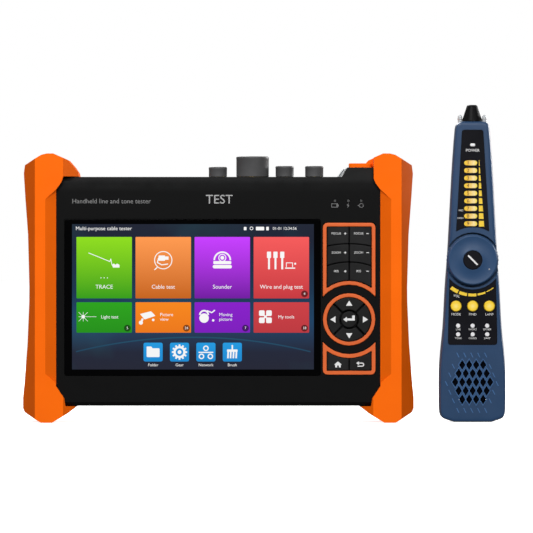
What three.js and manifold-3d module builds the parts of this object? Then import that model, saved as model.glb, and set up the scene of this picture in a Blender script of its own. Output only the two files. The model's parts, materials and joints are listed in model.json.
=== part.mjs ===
// A cable-tracing kit: a rugged handheld tester, which sends the tone down a cable, and the tone
// probe that follows it. The two stand side by side on one surface.
// Millimetres: +X to the right as the screen is read, -Y towards the user, +Z up. The origin is on
// the surface, midway across the pair and midway through the tester's depth.
import * as THREE from "three";
import { mergeVertices } from "three/addons/utils/BufferGeometryUtils.js";
import Module from "manifold-3d";

const wasm = await Module();
wasm.setup();

// ---------------------------------------------------------------- driving dimensions

const GAP = 0.3; // clearance between neighbouring pieces
const KEY_TRAVEL = 1; // how far every key and button goes in

// Tester. Its own group is centred across its width.
const TESTER_WIDTH = 266.4;
const TESTER_HALF_DEPTH = 29.5;
const HOUSING = { half: 118, low: 11.4, high: 167.2, front: -25, back: 25, parting: 8 };
const WALL = 2.5; // side walls of the housing
const PLATE = 3; // its front and back plates
const HOUSING_CORNER = 6;
const GLASS = { left: -104.4, right: 69.4, low: 32.1, high: 138.2, depth: 1.8 };
const DISPLAY_EDGE = 2; // how far the display's frame stays inside the glass
const KEYPAD = { x: 89, z: 70.2, half: 17.9, top: 135.9, bottom: 32.7, rim: 2.6 };
const RING_RADIUS = 17.8; // outside of the orange ring round the direction keys
const GAP_RADIUS = 23.6; // black band round that ring
// The front face leans back a little above one height, and more above another.
const BROW = { low: 157, edge: 164.5, lean: 0.8, chamfer: 3.3 };
const KEY_FRONT = HOUSING.front - 1.4;
const ROW_CROWNS = [121.6, 109.2]; // middle height of the two curved splits between key rows
const ROW_RADII = [70, 45]; // and their radii
const PORT_Y = -7;
const PORTS = [
  { name: "small_port_left", x: -0.4, cap: 6.3, rise: 7 },
  { name: "wide_port", x: 23.3, cap: 11.2, rise: 14.1 },
  { name: "small_port_middle", x: 45.2, cap: 6.3, rise: 7.6 },
  { name: "small_port_right", x: 65.4, cap: 6.3, rise: 7.6 },
];
const CAP_WALL = 1.5;
const POWER_BLOCK = { left: 84, right: 105.4, slope: 3.8, rise: 6.4, back: 5, lean: 3.4 };
const POWER_BUTTON = { left: 89, right: 104.9, front: -14, back: -2, top: 176.6 };
const JACKS = { left: -61, right: -29, front: -15, back: 0, deep: 17 };
const SOCKET = { width: 12, thick: 8.5, deep: 13, inset: 2.5 };
const INDICATORS = [79.3, 88.4, 97.2];
const INDICATOR_Z = 150.9;
const BATTERY_BAY = { left: -70, right: 30, low: 45, high: 115 };
const COVER_LEDGE = 8;
const COVER_THICK = 1.6;
const SPEAKER_SLOTS = { x: 70, z: 120, count: 5, pitch: 5, half: 14, radius: 1 };
const TRIM_FRONT = HOUSING.front - 0.6;
const TRIM_BACK = HOUSING.front + PLATE;
const TRIM_INNER_CORNER = 0.8;
const SPLIT = 0.22; // half of the gap between neighbouring keys
const PLATE_BEHIND = HOUSING.front + PLATE + GAP; // where the parts behind the front plate start

// Probe. Its own group is centred across its width too.
const PROBE_HALF_WIDTH = 22.5;
const PROBE_GAP = 17.8; // free space between the two devices
const PROBE_FRONT = -12;
const PROBE_BACK = 14.5;
const PROBE_PARTING = -2;
const PROBE_WALL = 2;
const PROBE_TOP = 205.3; // top of its shells
const DIAL = { z: 110.6, face: 17, rim: 18.1, front: -14.5, shoulder: -10.6, back: -8.2, cap: 6.5 };
const POCKET_RADIUS = 18.9;
const POCKET_FLOOR = -7.6;
const TIP = { base: 6.8, end: 3.3, top: 216.7 };
const LAMP = { x: 8.3, radius: 1.5, top: 210 };
const PILLS = { x: -1.35, first: 176.9, pitch: 5.19, count: 9, half: 4.5, radius: 1.65 };
const POWER_LAMP_Z = 189.2;
const BUTTONS = { pitch: 11.35, z: 79.2, radius: 3.75 };
const STATUS = { pitch: 9.9, rows: [65.8, 59.9], radius: 1.45 };
const LABEL_DEPTH = 0.8;
const DIAMOND = { half: 2.15, tall: 3.3, pitchX: 4.75, pitchZ: 5.9, z: 27.3, rows: [4, 5, 6, 5, 4] };
const DOOR = { half: 14.5, low: 15, high: 65 };
const DIAL_PIVOT_RADIUS = 1.5;
const BOARD_FRONT = -4.9;
const LABEL_FRONT = PROBE_FRONT + 0.1;
const LABEL_BACK = PROBE_FRONT + LABEL_DEPTH - 0.1;

const KIT_WIDTH = TESTER_WIDTH + PROBE_GAP + 2 * PROBE_HALF_WIDTH;
const TESTER_X = (TESTER_WIDTH - KIT_WIDTH) / 2;
const PROBE_X = KIT_WIDTH / 2 - PROBE_HALF_WIDTH;

// ---------------------------------------------------------------- outlines: lists of [x, z]

function arc(x, z, radius, from, to, steps = 5) {
  return Array.from({ length: steps + 1 }, (_, i) => {
    const angle = THREE.MathUtils.degToRad(from + ((to - from) * i) / steps);
    return [x + radius * Math.cos(angle), z + radius * Math.sin(angle)];
  });
}

function circle(x, z, radius, steps = 16) {
  return arc(x, z, radius, 0, 360, steps).slice(0, steps);
}

function roundedBox(left, low, right, high, radius, steps = 3) {
  return [
    ...arc(right - radius, high - radius, radius, 0, 90, steps),
    ...arc(left + radius, high - radius, radius, 90, 180, steps),
    ...arc(left + radius, low + radius, radius, 180, 270, steps),
    ...arc(right - radius, low + radius, radius, 270, 360, steps),
  ];
}

// A box with its four corners cut off straight.
function cutBox(left, low, right, high, cut) {
  return [
    [left + cut, low],
    [right - cut, low],
    [right, low + cut],
    [right, high - cut],
    [right - cut, high],
    [left + cut, high],
    [left, high - cut],
    [left, low + cut],
  ];
}

function pill(x, z, half, radius, steps = 4) {
  return [
    ...arc(x + half - radius, z, radius, -90, 90, steps),
    ...arc(x - half + radius, z, radius, 90, 270, steps),
  ];
}

// Points of a shallow arch of that radius, highest at x = 0, from one x to another.
function arch(crown, radius, from, to, steps = 5) {
  return Array.from({ length: steps + 1 }, (_, i) => {
    const x = from + ((to - from) * i) / steps;
    return [x, crown - radius + Math.sqrt(radius * radius - x * x)];
  });
}

const shifted = (points, x, z) => points.map(([px, pz]) => [px + x, pz + z]);
const mirrored = (points) => points.map(([x, z]) => [-x, z]).reverse();
const upended = (points) => points.map(([x, z]) => [x, -z]).reverse();

// ---------------------------------------------------------------- solids

const IN_XZ = new THREE.Matrix4().makeBasis(
  new THREE.Vector3(1, 0, 0),
  new THREE.Vector3(0, 0, 1),
  new THREE.Vector3(0, -1, 0),
);
const IN_YZ = new THREE.Matrix4().makeBasis(
  new THREE.Vector3(0, 1, 0),
  new THREE.Vector3(0, 0, 1),
  new THREE.Vector3(1, 0, 0),
);

// A closed three.js geometry as a solid that can be joined and cut.
function solid(geometry) {
  geometry.deleteAttribute("normal");
  geometry.deleteAttribute("uv");
  const merged = mergeVertices(geometry, 1e-4);
  const corners = merged.index.array;
  const kept = [];
  for (let i = 0; i < corners.length; i += 3) {
    const [a, b, c] = corners.slice(i, i + 3);
    if (a !== b && b !== c && c !== a) kept.push(a, b, c);
  }
  const made = (triangles) =>
    new wasm.Manifold(
      new wasm.Mesh({
        numProp: 3,
        vertProperties: new Float32Array(merged.attributes.position.array),
        triVerts: new Uint32Array(triangles),
      }),
    );
  const first = made(kept);
  return first.volume() < 0 ? made(kept.reverse()) : first;
}

function extruded(points, depth, holes = [], edge = 0, edgeSteps = 1) {
  const shape = new THREE.Shape(points.map((p) => new THREE.Vector2(...p)));
  shape.holes = holes.map((hole) => new THREE.Path(hole.map((p) => new THREE.Vector2(...p))));
  return new THREE.ExtrudeGeometry(shape, {
    depth: depth - 2 * edge,
    bevelEnabled: edge > 0,
    bevelThickness: edge,
    bevelSize: edge,
    bevelOffset: -edge,
    bevelSegments: edgeSteps,
  }).translate(0, 0, edge);
}

// An outline drawn in X and Z, thickened in Y. edge rounds or chamfers its two rims.
function slab(points, front, back, holes = [], edge = 0, edgeSteps = 1) {
  const geometry = extruded(points, back - front, holes, edge, edgeSteps);
  return solid(geometry.applyMatrix4(IN_XZ).translate(0, back, 0));
}

// An outline drawn in X and Y, thickened in Z.
function column(points, low, high, holes = []) {
  return solid(extruded(points, high - low, holes).translate(0, 0, low));
}

// An outline drawn in Y and Z, thickened in X.
function sideSlab(points, left, right) {
  return solid(extruded(points, right - left).applyMatrix4(IN_YZ).translate(left, 0, 0));
}

function box(left, right, front, back, low, high) {
  const geometry = new THREE.BoxGeometry(right - left, back - front, high - low);
  return solid(geometry.translate((left + right) / 2, (front + back) / 2, (low + high) / 2));
}

// A profile of [radius, height] turned about a line that stands at x, y.
function turned(profile, x = 0, y = 0, steps = 20) {
  const points = profile.map(([r, h]) => new THREE.Vector2(r, h));
  const geometry = new THREE.LatheGeometry(points, steps);
  return solid(geometry.rotateX(Math.PI / 2).translate(x, y, 0));
}

const rod = (x, y, radius, low, high, steps = 16) =>
  column(circle(x, y, radius, steps), low, high);
const disc = (x, z, radius, front, back, steps = 16) =>
  slab(circle(x, z, radius, steps), front, back);
const cut = (body, ...tools) => tools.reduce((left, tool) => left.subtract(tool), body);
const join = (body, ...others) => others.reduce((whole, other) => whole.add(other), body);

// ---------------------------------------------------------------- materials

const finish = (color, roughness, metalness = 0) =>
  new THREE.MeshStandardMaterial({ color, roughness, metalness });
const BLACK_PLASTIC = finish(0x141414, 0.55);
const ORANGE_RUBBER = finish(0xf8690a, 0.6);
const ORANGE_TRIM = finish(0xe8672a, 0.4);
const KEY_RUBBER = finish(0x2a2a2b, 0.6);
const CAP_RUBBER = finish(0x3a3a3b, 0.7);
const DARK_GLASS = finish(0x05070a, 0.05);
const LIT_DISPLAY = finish(0x1c2a44, 0.3);
const BLUE_PLASTIC = finish(0x2f4a78, 0.45);
const LABEL_FILM = finish(0x17171c, 0.5);
const YELLOW_KEY = finish(0xf4c71e, 0.4);
const YELLOW_LIGHT = finish(0xf5d84a, 0.3);
const WHITE_LIGHT = finish(0xf2f2f2, 0.2);
const CLEAR_LENS = finish(0xe8eef2, 0.05);
const BOARD = finish(0x1f5a38, 0.5);
const STEEL = finish(0x9a9da0, 0.35, 1);
const BRASS = finish(0xb59a55, 0.35, 1);
const BATTERY_WRAP = finish(0x2b5a8c, 0.4);
const SPEAKER_PAPER = finish(0x202124, 0.8);

// ---------------------------------------------------------------- tester: housing and bumpers

// The housing's outside, grown by a margin all round.
function housingEnvelope(margin = 0) {
  const { half, low, high, front, back } = HOUSING;
  const corner = HOUSING_CORNER - margin;
  const points = cutBox(-half - margin, low - margin, half + margin, high + margin, corner);
  return slab(points, front - margin, back + margin, [], WALL - margin);
}

function housingCavity() {
  const { half, low, high, front, back } = HOUSING;
  const points = cutBox(-half + WALL, low + WALL, half - WALL, high - WALL, HOUSING_CORNER - 1);
  return slab(points, front + PLATE, back - PLATE);
}

const BROW_FRONT = HOUSING.front + BROW.lean;

// What comes off the top of the front face.
function browCut() {
  const { half, high, front } = HOUSING;
  const ahead = front - 5;
  const above = high + 5;
  const back = BROW_FRONT + BROW.chamfer;
  const { low, edge } = BROW;
  return sideSlab(
    [[front, low], [BROW_FRONT, edge], [back, high + 0.5], [back, above], [ahead, above], [ahead, low]],
    -half - 1,
    half + 1,
  );
}

// The raised block under the power button, from any front plane back.
function powerBlock(margin = 0, front = BROW_FRONT) {
  const { left, right, slope, rise, back } = POWER_BLOCK;
  const top = HOUSING.high + rise + margin;
  const points = [
    [left - margin, BROW.edge],
    [right + margin, BROW.edge],
    [right + margin, top],
    [left + slope - margin, top],
    [left - margin, HOUSING.high],
  ];
  return slab(points, front, back + margin);
}

// The same block with its front leaning back.
function leaningBlock() {
  const { left, right, rise, back, lean } = POWER_BLOCK;
  const top = HOUSING.high + rise + 1;
  const side = [[BROW_FRONT, BROW.edge], [back, BROW.edge], [back, top], [BROW_FRONT + lean, top]];
  return powerBlock().intersect(sideSlab(side, left - 1, right + 1));
}

// Outline of one end block of the keypad, measured from the middle of the direction keys. Its near
// side is an arc round those keys, and reach is how far its far side lies.
function endBlock(half, reach, radius, corner, steps = 8) {
  const side = THREE.MathUtils.radToDeg(Math.acos(half / radius));
  return [
    ...arc(0, 0, radius, 180 - side, side, steps),
    ...arc(half - corner, reach - corner, corner, 0, 90, 3),
    ...arc(-half + corner, reach - corner, corner, 90, 180, 3),
  ];
}

const UPPER_REACH = KEYPAD.top - KEYPAD.z;
const LOWER_REACH = KEYPAD.z - KEYPAD.bottom;
const onKeypad = (points) => shifted(points, KEYPAD.x, KEYPAD.z);

// The outline of a keypad trim, or of the hole it sits in, inset by some amount.
const blockOutline = (reach, inset, corner) =>
  endBlock(KEYPAD.half - inset, reach - inset, GAP_RADIUS + inset, corner);
const upperOutline = (inset, corner = 3) => onKeypad(blockOutline(UPPER_REACH, inset, corner));
const lowerOutline = (inset, corner = 3) =>
  onKeypad(upended(blockOutline(LOWER_REACH, inset, corner)));
const ringOutline = (inset) => circle(KEYPAD.x, KEYPAD.z, RING_RADIUS - inset, 32);

const wellRadius = (port) => port.cap - CAP_WALL - 0.2; // barrel of a port, inside its cap

function frontHousing() {
  const { half, low, high, front, parting } = HOUSING;
  const through = (points) => slab(points, front - 2, front + PLATE + 1);
  const shell = cut(housingEnvelope(), housingCavity()).intersect(
    box(-half - 1, half + 1, front - 1, parting, low - 1, high + 1),
  );
  return cut(
    join(cut(shell, browCut()), leaningBlock()),
    slab(
      roundedBox(GLASS.left - GAP, GLASS.low - GAP, GLASS.right + GAP, GLASS.high + GAP, 1.5),
      front - 2,
      front + GLASS.depth,
    ),
    through(
      roundedBox(
        GLASS.left + DISPLAY_EDGE,
        GLASS.low + DISPLAY_EDGE,
        GLASS.right - DISPLAY_EDGE,
        GLASS.high - DISPLAY_EDGE,
        1,
      ),
    ),
    through(upperOutline(-GAP)),
    through(ringOutline(-GAP)),
    through(lowerOutline(-GAP)),
    ...INDICATORS.map((x) => disc(x, INDICATOR_Z, 1.2, front - 2, front + PLATE + 1, 10)),
    ...PORTS.map((port) => rod(port.x, PORT_Y, wellRadius(port) + 0.5, high - 6, high + 2, 20)),
    box(
      JACKS.left - GAP,
      JACKS.right + GAP,
      JACKS.front - GAP,
      JACKS.back + GAP,
      high - WALL - 1,
      high + 1,
    ),
    box(
      POWER_BUTTON.left - GAP,
      POWER_BUTTON.right + GAP,
      POWER_BUTTON.front - GAP,
      POWER_BUTTON.back + GAP,
      high - WALL - 1,
      POWER_BUTTON.top,
    ),
  );
}

// The one screw that holds the battery cover.
const COVER_SCREW = [BATTERY_BAY.right + COVER_LEDGE / 2, (BATTERY_BAY.low + BATTERY_BAY.high) / 2];

// The battery bay's outline, grown by some amount.
const bayOutline = (grow, corner) =>
  roundedBox(
    BATTERY_BAY.left - grow,
    BATTERY_BAY.low - grow,
    BATTERY_BAY.right + grow,
    BATTERY_BAY.high + grow,
    corner,
  );

function rearHousing() {
  const { half, low, high, back, parting } = HOUSING;
  const shell = cut(housingEnvelope(), housingCavity()).intersect(
    box(-half - 1, half + 1, parting + GAP, back + 1, low - 1, high + 1),
  );
  const slots = Array.from({ length: SPEAKER_SLOTS.count }, (_, i) =>
    pill(
      SPEAKER_SLOTS.x,
      SPEAKER_SLOTS.z + (i - 2) * SPEAKER_SLOTS.pitch,
      SPEAKER_SLOTS.half,
      SPEAKER_SLOTS.radius,
      2,
    ),
  );
  return cut(
    shell,
    slab(bayOutline(COVER_LEDGE, 3), back - COVER_THICK - GAP, back + 1),
    slab(bayOutline(0, 2), back - PLATE - 1, back + 1),
    disc(...COVER_SCREW, 1.8, back - PLATE - 1, back + 1, 10),
    ...slots.map((points) => slab(points, back - PLATE - 1, back + 1)),
  );
}

// Bumper on the right-hand side, seen from the front. The inner path runs along the housing.
const BUMPER_OUTLINE = [
  [95, 167.5],
  [95.6, 170.2],
  [98.6, 174.4],
  [102.5, 178.8],
  [112, 183],
  [116.5, 183],
  [120.2, 182.1],
  [131.8, 175.2],
  [132.6, 169.5],
  [131.4, 151.8],
  [129.5, 128],
  [128.5, 92],
  [128.6, 82],
  [129.9, 53],
  [132.2, 26],
  [133.2, 17],
  [133.2, 9.6],
  [132, 7],
  [120.4, 0],
  [112.9, 0],
  [102.5, 6.3],
  [96.1, 11.1],
  [103.8, 11.1],
  [104.7, 16.7],
  [110.2, 24.9],
  [110.2, 158.3],
  [106.6, 163.4],
  [105.2, 167.5],
];

// What comes off the front of a bumper, or off its back when side is -1: the slope down to its
// outer flank, the slope of the tongues over the housing's ends, and the hollow between its pads.
function bumperFacets(side) {
  const face = (points) => points.map(([x, y]) => [x, y * side]);
  const upright = (points, low, high) => column(face(points), low, high);
  const slope = [[124.5, -29.5], [134, -14.4], [136, -14.4], [136, -32], [124.5, -32]];
  const flank = upright(slope, -1, 184);
  const tongue = upright([[105.4, -29.5], [93.5, -17.5], [93.5, -32], [105.4, -32]], -1, 184);
  const trough = upright([[117.5, -29.5], [109.5, -25.9], [109.5, -32], [117.5, -32]], 20, 165);
  const window = [[117.6, 33.3], [117.6, 151.7], [109.4, 159.2], [109.4, 26.3]];
  const reach = side > 0 ? slab(window, -32, -20) : slab(window, 20, 32);
  return [flank, tongue, trough.intersect(reach)];
}

function bumper() {
  return cut(
    slab(BUMPER_OUTLINE, -TESTER_HALF_DEPTH, TESTER_HALF_DEPTH),
    housingEnvelope(GAP),
    ...bumperFacets(1),
    ...bumperFacets(-1),
  );
}

// The right bumper leaves the power block and its button open to the front and above.
function rightBumper() {
  const { left, back } = POWER_BUTTON;
  const ahead = -TESTER_HALF_DEPTH - 1;
  const above = HOUSING.high + 20;
  return cut(
    bumper(),
    powerBlock(GAP, ahead),
    box(left - 1, POWER_BLOCK.right + GAP, ahead, back + 0.6, HOUSING.high, above),
  );
}

// ---------------------------------------------------------------- tester: screen and keypad

function touchGlass() {
  const points = roundedBox(GLASS.left, GLASS.low, GLASS.right, GLASS.high, 1.2);
  return slab(points, HOUSING.front + 0.1, HOUSING.front + GLASS.depth - 0.2);
}

function displayPanel() {
  const { left, right, low, high } = GLASS;
  return box(left + 1, right - 1, PLATE_BEHIND, PLATE_BEHIND + 4.5, low + 1, high - 1);
}

const upperTrim = () =>
  slab(upperOutline(0), TRIM_FRONT, TRIM_BACK, [upperOutline(KEYPAD.rim, TRIM_INNER_CORNER)]);
const lowerTrim = () =>
  slab(lowerOutline(0), TRIM_FRONT, TRIM_BACK, [lowerOutline(KEYPAD.rim, TRIM_INNER_CORNER)]);
const ringTrim = () => slab(ringOutline(0), TRIM_FRONT, TRIM_BACK, [ringOutline(KEYPAD.rim)]);

const key = (points) => slab(points, KEY_FRONT, HOUSING.front + PLATE);
const KEY_HALF = KEYPAD.half - KEYPAD.rim - GAP; // the keys' width each side of the middle

// The three rows of paired keys above the direction keys: each row is bounded by two arches.
function rowKeys() {
  const lowest = GAP_RADIUS + KEYPAD.rim + GAP;
  const bounds = [
    { crown: KEYPAD.top - KEYPAD.rim - GAP, radius: 2000 },
    { crown: ROW_CROWNS[0], radius: ROW_RADII[0] },
    { crown: ROW_CROWNS[1], radius: ROW_RADII[1] },
    { crown: KEYPAD.z + lowest - SPLIT, radius: lowest - SPLIT },
  ];
  return ["focus", "zoom", "iris"].map((name, row) => {
    const above = bounds[row];
    const below = bounds[row + 1];
    const points = [
      ...arch(above.crown - (row ? SPLIT : 0), above.radius, SPLIT, KEY_HALF),
      ...arch(below.crown + SPLIT, below.radius, KEY_HALF, SPLIT),
    ];
    return { name, right: shifted(points, KEYPAD.x, 0), left: shifted(mirrored(points), KEYPAD.x, 0) };
  });
}

// One of the four direction keys, pointing along the given angle.
function directionKey(angle) {
  const inner = 6.6;
  const outer = RING_RADIUS - KEYPAD.rim - GAP;
  const slack = (radius) => THREE.MathUtils.radToDeg(Math.asin(0.5 / radius));
  return onKeypad([
    ...arc(0, 0, outer, angle - 45 + slack(outer), angle + 45 - slack(outer), 8),
    ...arc(0, 0, inner, angle + 45 - slack(inner), angle - 45 + slack(inner), 5),
  ]);
}

// One of the two keys below the direction keys: the one on the right.
function lowerKey() {
  const radius = GAP_RADIUS + KEYPAD.rim + GAP;
  const bottom = LOWER_REACH - KEYPAD.rim - GAP;
  const low = [
    [SPLIT, bottom],
    ...arc(KEY_HALF - 1, bottom - 1, 1, 90, 0, 2),
  ];
  return [...low, ...arch(radius, radius, KEY_HALF, SPLIT)];
}

// ---------------------------------------------------------------- tester: ports, button, insides

// A screwed port: a flange under the housing's top wall and a barrel that its cap covers.
function port({ x, rise, ...sizes }) {
  const barrel = wellRadius(sizes);
  const top = HOUSING.high + rise - CAP_WALL - 0.4;
  const under = HOUSING.high - WALL - 0.2;
  const core = barrel * 0.62;
  return turned(
    [
      [0, under - 3],
      [barrel + 1.4, under - 3],
      [barrel + 1.4, under],
      [barrel, under],
      [barrel, top],
      [core, top],
      [core, top - 4.5],
      [core * 0.4, top - 4.5],
      [core * 0.4, top - 1],
      [0, top - 1],
    ],
    x,
    PORT_Y,
    16,
  );
}

function portCap({ x, cap, rise }) {
  const low = HOUSING.high + GAP;
  const top = HOUSING.high + rise;
  return turned(
    [
      [cap - CAP_WALL, low],
      [cap, low],
      [cap, top - 0.8],
      [cap - 0.8, top],
      [0, top],
      [0, top - CAP_WALL],
      [cap - CAP_WALL, top - CAP_WALL],
      [cap - CAP_WALL, low],
    ],
    x,
    PORT_Y,
    24,
  );
}

function powerButton() {
  const { left, right, front, back, top } = POWER_BUTTON;
  return column(roundedBox(left, front, right, back, 3), HOUSING.high - WALL, top);
}

function jackBlock() {
  const top = HOUSING.high;
  const { left, right, front, back, deep } = JACKS;
  const middle = (left + right) / 2;
  const thick = (front + back) / 2;
  const sockets = [
    [left + SOCKET.inset, left + SOCKET.inset + SOCKET.width],
    [right - SOCKET.inset - SOCKET.width, right - SOCKET.inset],
  ];
  return cut(
    join(
      box(left, right, front, back, top - deep, top - 0.1),
      box(middle - 19, middle + 19, front + 2, back - 2, top - deep, top - WALL - 1),
    ),
    ...sockets.map(([from, to]) =>
      box(from, to, thick - SOCKET.thick / 2, thick + SOCKET.thick / 2, top - SOCKET.deep, top + 1),
    ),
  );
}

function indicatorGuide() {
  const back = PLATE_BEHIND;
  return join(
    box(INDICATORS[0] - 2, INDICATORS[2] + 2, back, back + 1.2, INDICATOR_Z - 2, INDICATOR_Z + 2),
    ...INDICATORS.map((x) => disc(x, INDICATOR_Z, 0.9, HOUSING.front, back + 0.5, 10)),
  );
}

function keypadSheet() {
  const front = HOUSING.front + PLATE + KEY_TRAVEL + 0.2;
  return slab(roundedBox(71, 28, 108, 138, 2), front, front + 1.6);
}

const mainBoard = () => box(-100, 100, -13.6, -12, 20, 146);
const batteryPack = () =>
  slab(
    roundedBox(
      BATTERY_BAY.left + 1,
      BATTERY_BAY.low + 1,
      BATTERY_BAY.right - 1,
      BATTERY_BAY.high - 1,
      3,
    ),
    9,
    HOUSING.back - COVER_THICK - 0.6,
  );

function batteryCover() {
  const back = HOUSING.back;
  const plate = slab(bayOutline(COVER_LEDGE - GAP, 2.8), back - COVER_THICK, back);
  return cut(plate, disc(...COVER_SCREW, 2.9, back - 2, back + 1, 14));
}

function coverScrew() {
  const back = HOUSING.back;
  return join(
    disc(...COVER_SCREW, 2.6, back - COVER_THICK, back - 0.2, 14),
    disc(...COVER_SCREW, 1.4, back - 9, back - 1, 10),
  );
}

function testerSpeaker() {
  const back = HOUSING.back - PLATE - GAP;
  return disc(SPEAKER_SLOTS.x, SPEAKER_SLOTS.z, 14, back - 5, back, 20);
}

// ---------------------------------------------------------------- probe: shells

// Half width of the probe at a few heights, which a smooth curve joins.
const FLANK = [
  [16.8, 1.3],
  [20.3, 2.8],
  [21.9, 5.4],
  [22.5, 12],
  [22.5, 33],
  [21.5, 48],
  [19.7, 66.6],
  [18.4, 92.3],
  [17.1, 110],
  [16, 128.6],
  [13.8, 171.4],
  [11.8, 199.5],
];

function probeOutline(inset = 0, steps = 30) {
  const curve = new THREE.SplineCurve(FLANK.map((p) => new THREE.Vector2(...p)));
  const side = curve.getPoints(steps).map((p) => [p.x - inset, p.y]);
  const flank = side.filter(([, z]) => z > inset + 1 && z < 198);
  const foot = inset ? [[flank[0][0] - 6, inset]] : [[12.5, 0]];
  const shoulder = 4.6;
  const top = PROBE_TOP - inset;
  const corner = arc(11.6 - inset - shoulder, top - shoulder, shoulder, 0, 90, 4);
  const right = [...foot, ...flank, ...corner];
  return [...right, ...mirrored(right)];
}

// The probe from the side, as [y, z]: a flat front, and a back that swells for the battery.
const probeProfile = (inset = 0) => [
  [PROBE_FRONT + inset, -1 + inset],
  [PROBE_BACK - 4, -1 + inset],
  [PROBE_BACK - inset, 4 + inset],
  [PROBE_BACK - inset, 68],
  [PROBE_BACK - 2.5 - inset, 84],
  [9.6 - inset, 112],
  [8 - inset, 160],
  [8 - inset, PROBE_TOP + 1],
  [PROBE_FRONT + inset, PROBE_TOP + 1],
];

function probeBody() {
  const full = slab(probeOutline(), PROBE_FRONT, PROBE_BACK, [], 2.4, 2);
  return full.intersect(sideSlab(probeProfile(), -30, 30));
}

function probeCavity() {
  const full = slab(probeOutline(PROBE_WALL, 20), PROBE_FRONT + PROBE_WALL, PROBE_BACK);
  return full.intersect(sideSlab(probeProfile(PROBE_WALL), -30, 30));
}

// What passes through the top of both shells: the sensor and the two lamps.
const headHoles = () => [
  rod(0, PROBE_PARTING, 2.4, PROBE_TOP - 5, PROBE_TOP + 2, 12),
  ...[-LAMP.x, LAMP.x].map((x) =>
    rod(x, PROBE_PARTING, LAMP.radius + 0.25, PROBE_TOP - 8, PROBE_TOP + 2, 12),
  ),
];

// The upper label's outline: it narrows upwards, and its foot is an arc round the dial.
function upperLabelOutline(inset = 0) {
  const radius = 22.6 + inset;
  const side = THREE.MathUtils.radToDeg(Math.acos((11.2 - inset) / radius));
  const foot = arc(0, DIAL.z, radius, side, 180 - side, 6);
  const top = 199.4 - inset;
  const half = 7.2 - inset;
  return [...foot, [-half, top - 1], [-half + 1, top], [half - 1, top], [half, top - 1]];
}

// The lower label's outline: its head is an arc round the dial.
function lowerLabelOutline(inset = 0) {
  const radius = 20.3 + inset;
  const half = 15.8 - inset;
  const side = THREE.MathUtils.radToDeg(Math.acos(half / radius));
  const low = 52.8 + inset;
  return [
    ...arc(0, DIAL.z, radius, -180 + side, -side, 8),
    [half + 0.9, low + 6],
    ...arc(half - 0.6, low + 1.5, 1.5, 0, -90, 2),
    ...arc(-half + 0.6, low + 1.5, 1.5, -90, -180, 2),
    [-half - 0.9, low + 6],
  ];
}

const pillPlaces = () =>
  Array.from({ length: PILLS.count }, (_, i) => [PILLS.x, PILLS.first - i * PILLS.pitch]);
const buttonPlaces = () => [-1, 0, 1].map((i) => [i * BUTTONS.pitch, BUTTONS.z]);
const statusPlaces = () =>
  STATUS.rows.flatMap((z) => [-1, 0, 1].map((i) => [i * STATUS.pitch, z]));

function diamondPlaces() {
  return DIAMOND.rows.flatMap((count, row) =>
    Array.from({ length: count }, (_, i) => [
      (i - (count - 1) / 2) * DIAMOND.pitchX,
      DIAMOND.z + (2 - row) * DIAMOND.pitchZ,
    ]),
  );
}

const diamond = ([x, z]) => [
  [x - DIAMOND.half, z],
  [x, z - DIAMOND.tall],
  [x + DIAMOND.half, z],
  [x, z + DIAMOND.tall],
];

function probeFrontShell() {
  const through = (points) => slab(points, PROBE_FRONT - 1, PROBE_FRONT + PROBE_WALL + 1);
  const shell = cut(probeBody(), probeCavity());
  const floor = disc(0, DIAL.z, POCKET_RADIUS + 3, POCKET_FLOOR, POCKET_FLOOR + 1.8, 32);
  const lastPill = PILLS.first - (PILLS.count - 1) * PILLS.pitch;
  const [highLights, lowLights] = STATUS.rows;
  return cut(
    join(shell, floor.intersect(probeBody())).intersect(
      box(-30, 30, PROBE_FRONT - 1, PROBE_PARTING - GAP / 2, -1, PROBE_TOP + 1),
    ),
    disc(0, DIAL.z, POCKET_RADIUS, PROBE_FRONT - 1, POCKET_FLOOR, 32),
    disc(0, DIAL.z, DIAL_PIVOT_RADIUS + 0.6, POCKET_FLOOR - 1, POCKET_FLOOR + 3, 12),
    slab(upperLabelOutline(-0.2), PROBE_FRONT - 1, PROBE_FRONT + LABEL_DEPTH),
    slab(lowerLabelOutline(-0.2), PROBE_FRONT - 1, PROBE_FRONT + LABEL_DEPTH),
    through(roundedBox(PILLS.x - 5, lastPill - 2.4, PILLS.x + 5, POWER_LAMP_Z + 2.4, 1, 1)),
    through(roundedBox(-16.3, BUTTONS.z - 4.4, 16.3, BUTTONS.z + 4.4, 1, 1)),
    through(roundedBox(-12.5, lowLights - 2.4, 12.5, highLights + 2.4, 1, 1)),
    ...diamondPlaces().map((place) => through(diamond(place))),
    ...headHoles(),
  );
}

function probeRearShell() {
  const { half, low, high } = DOOR;
  return cut(
    cut(probeBody(), probeCavity()).intersect(
      box(-30, 30, PROBE_PARTING + GAP / 2, PROBE_BACK + 1, -1, PROBE_TOP + 1),
    ),
    slab(
      roundedBox(-half - GAP, low - GAP, half + GAP, high + GAP, 2.3),
      PROBE_BACK - PROBE_WALL - 1,
      PROBE_BACK + 1,
    ),
    ...headHoles(),
  );
}

// ---------------------------------------------------------------- probe: what the shells hold

function probeTip() {
  const { base, end, top } = TIP;
  const low = PROBE_TOP + GAP;
  return turned(
    [
      [base - 1.5, low],
      [base, low],
      [base, low + 0.8],
      [end + 0.3, top - 0.6],
      [end - 0.5, top],
      [0, top],
      [0, top - 1.6],
      [end - 1.3, top - 1.6],
      [base - 1.5, low],
    ],
    0,
    PROBE_PARTING,
    20,
  );
}

const sensorRod = () => rod(0, PROBE_PARTING, 1.7, 186, TIP.top - 2, 12);

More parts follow.
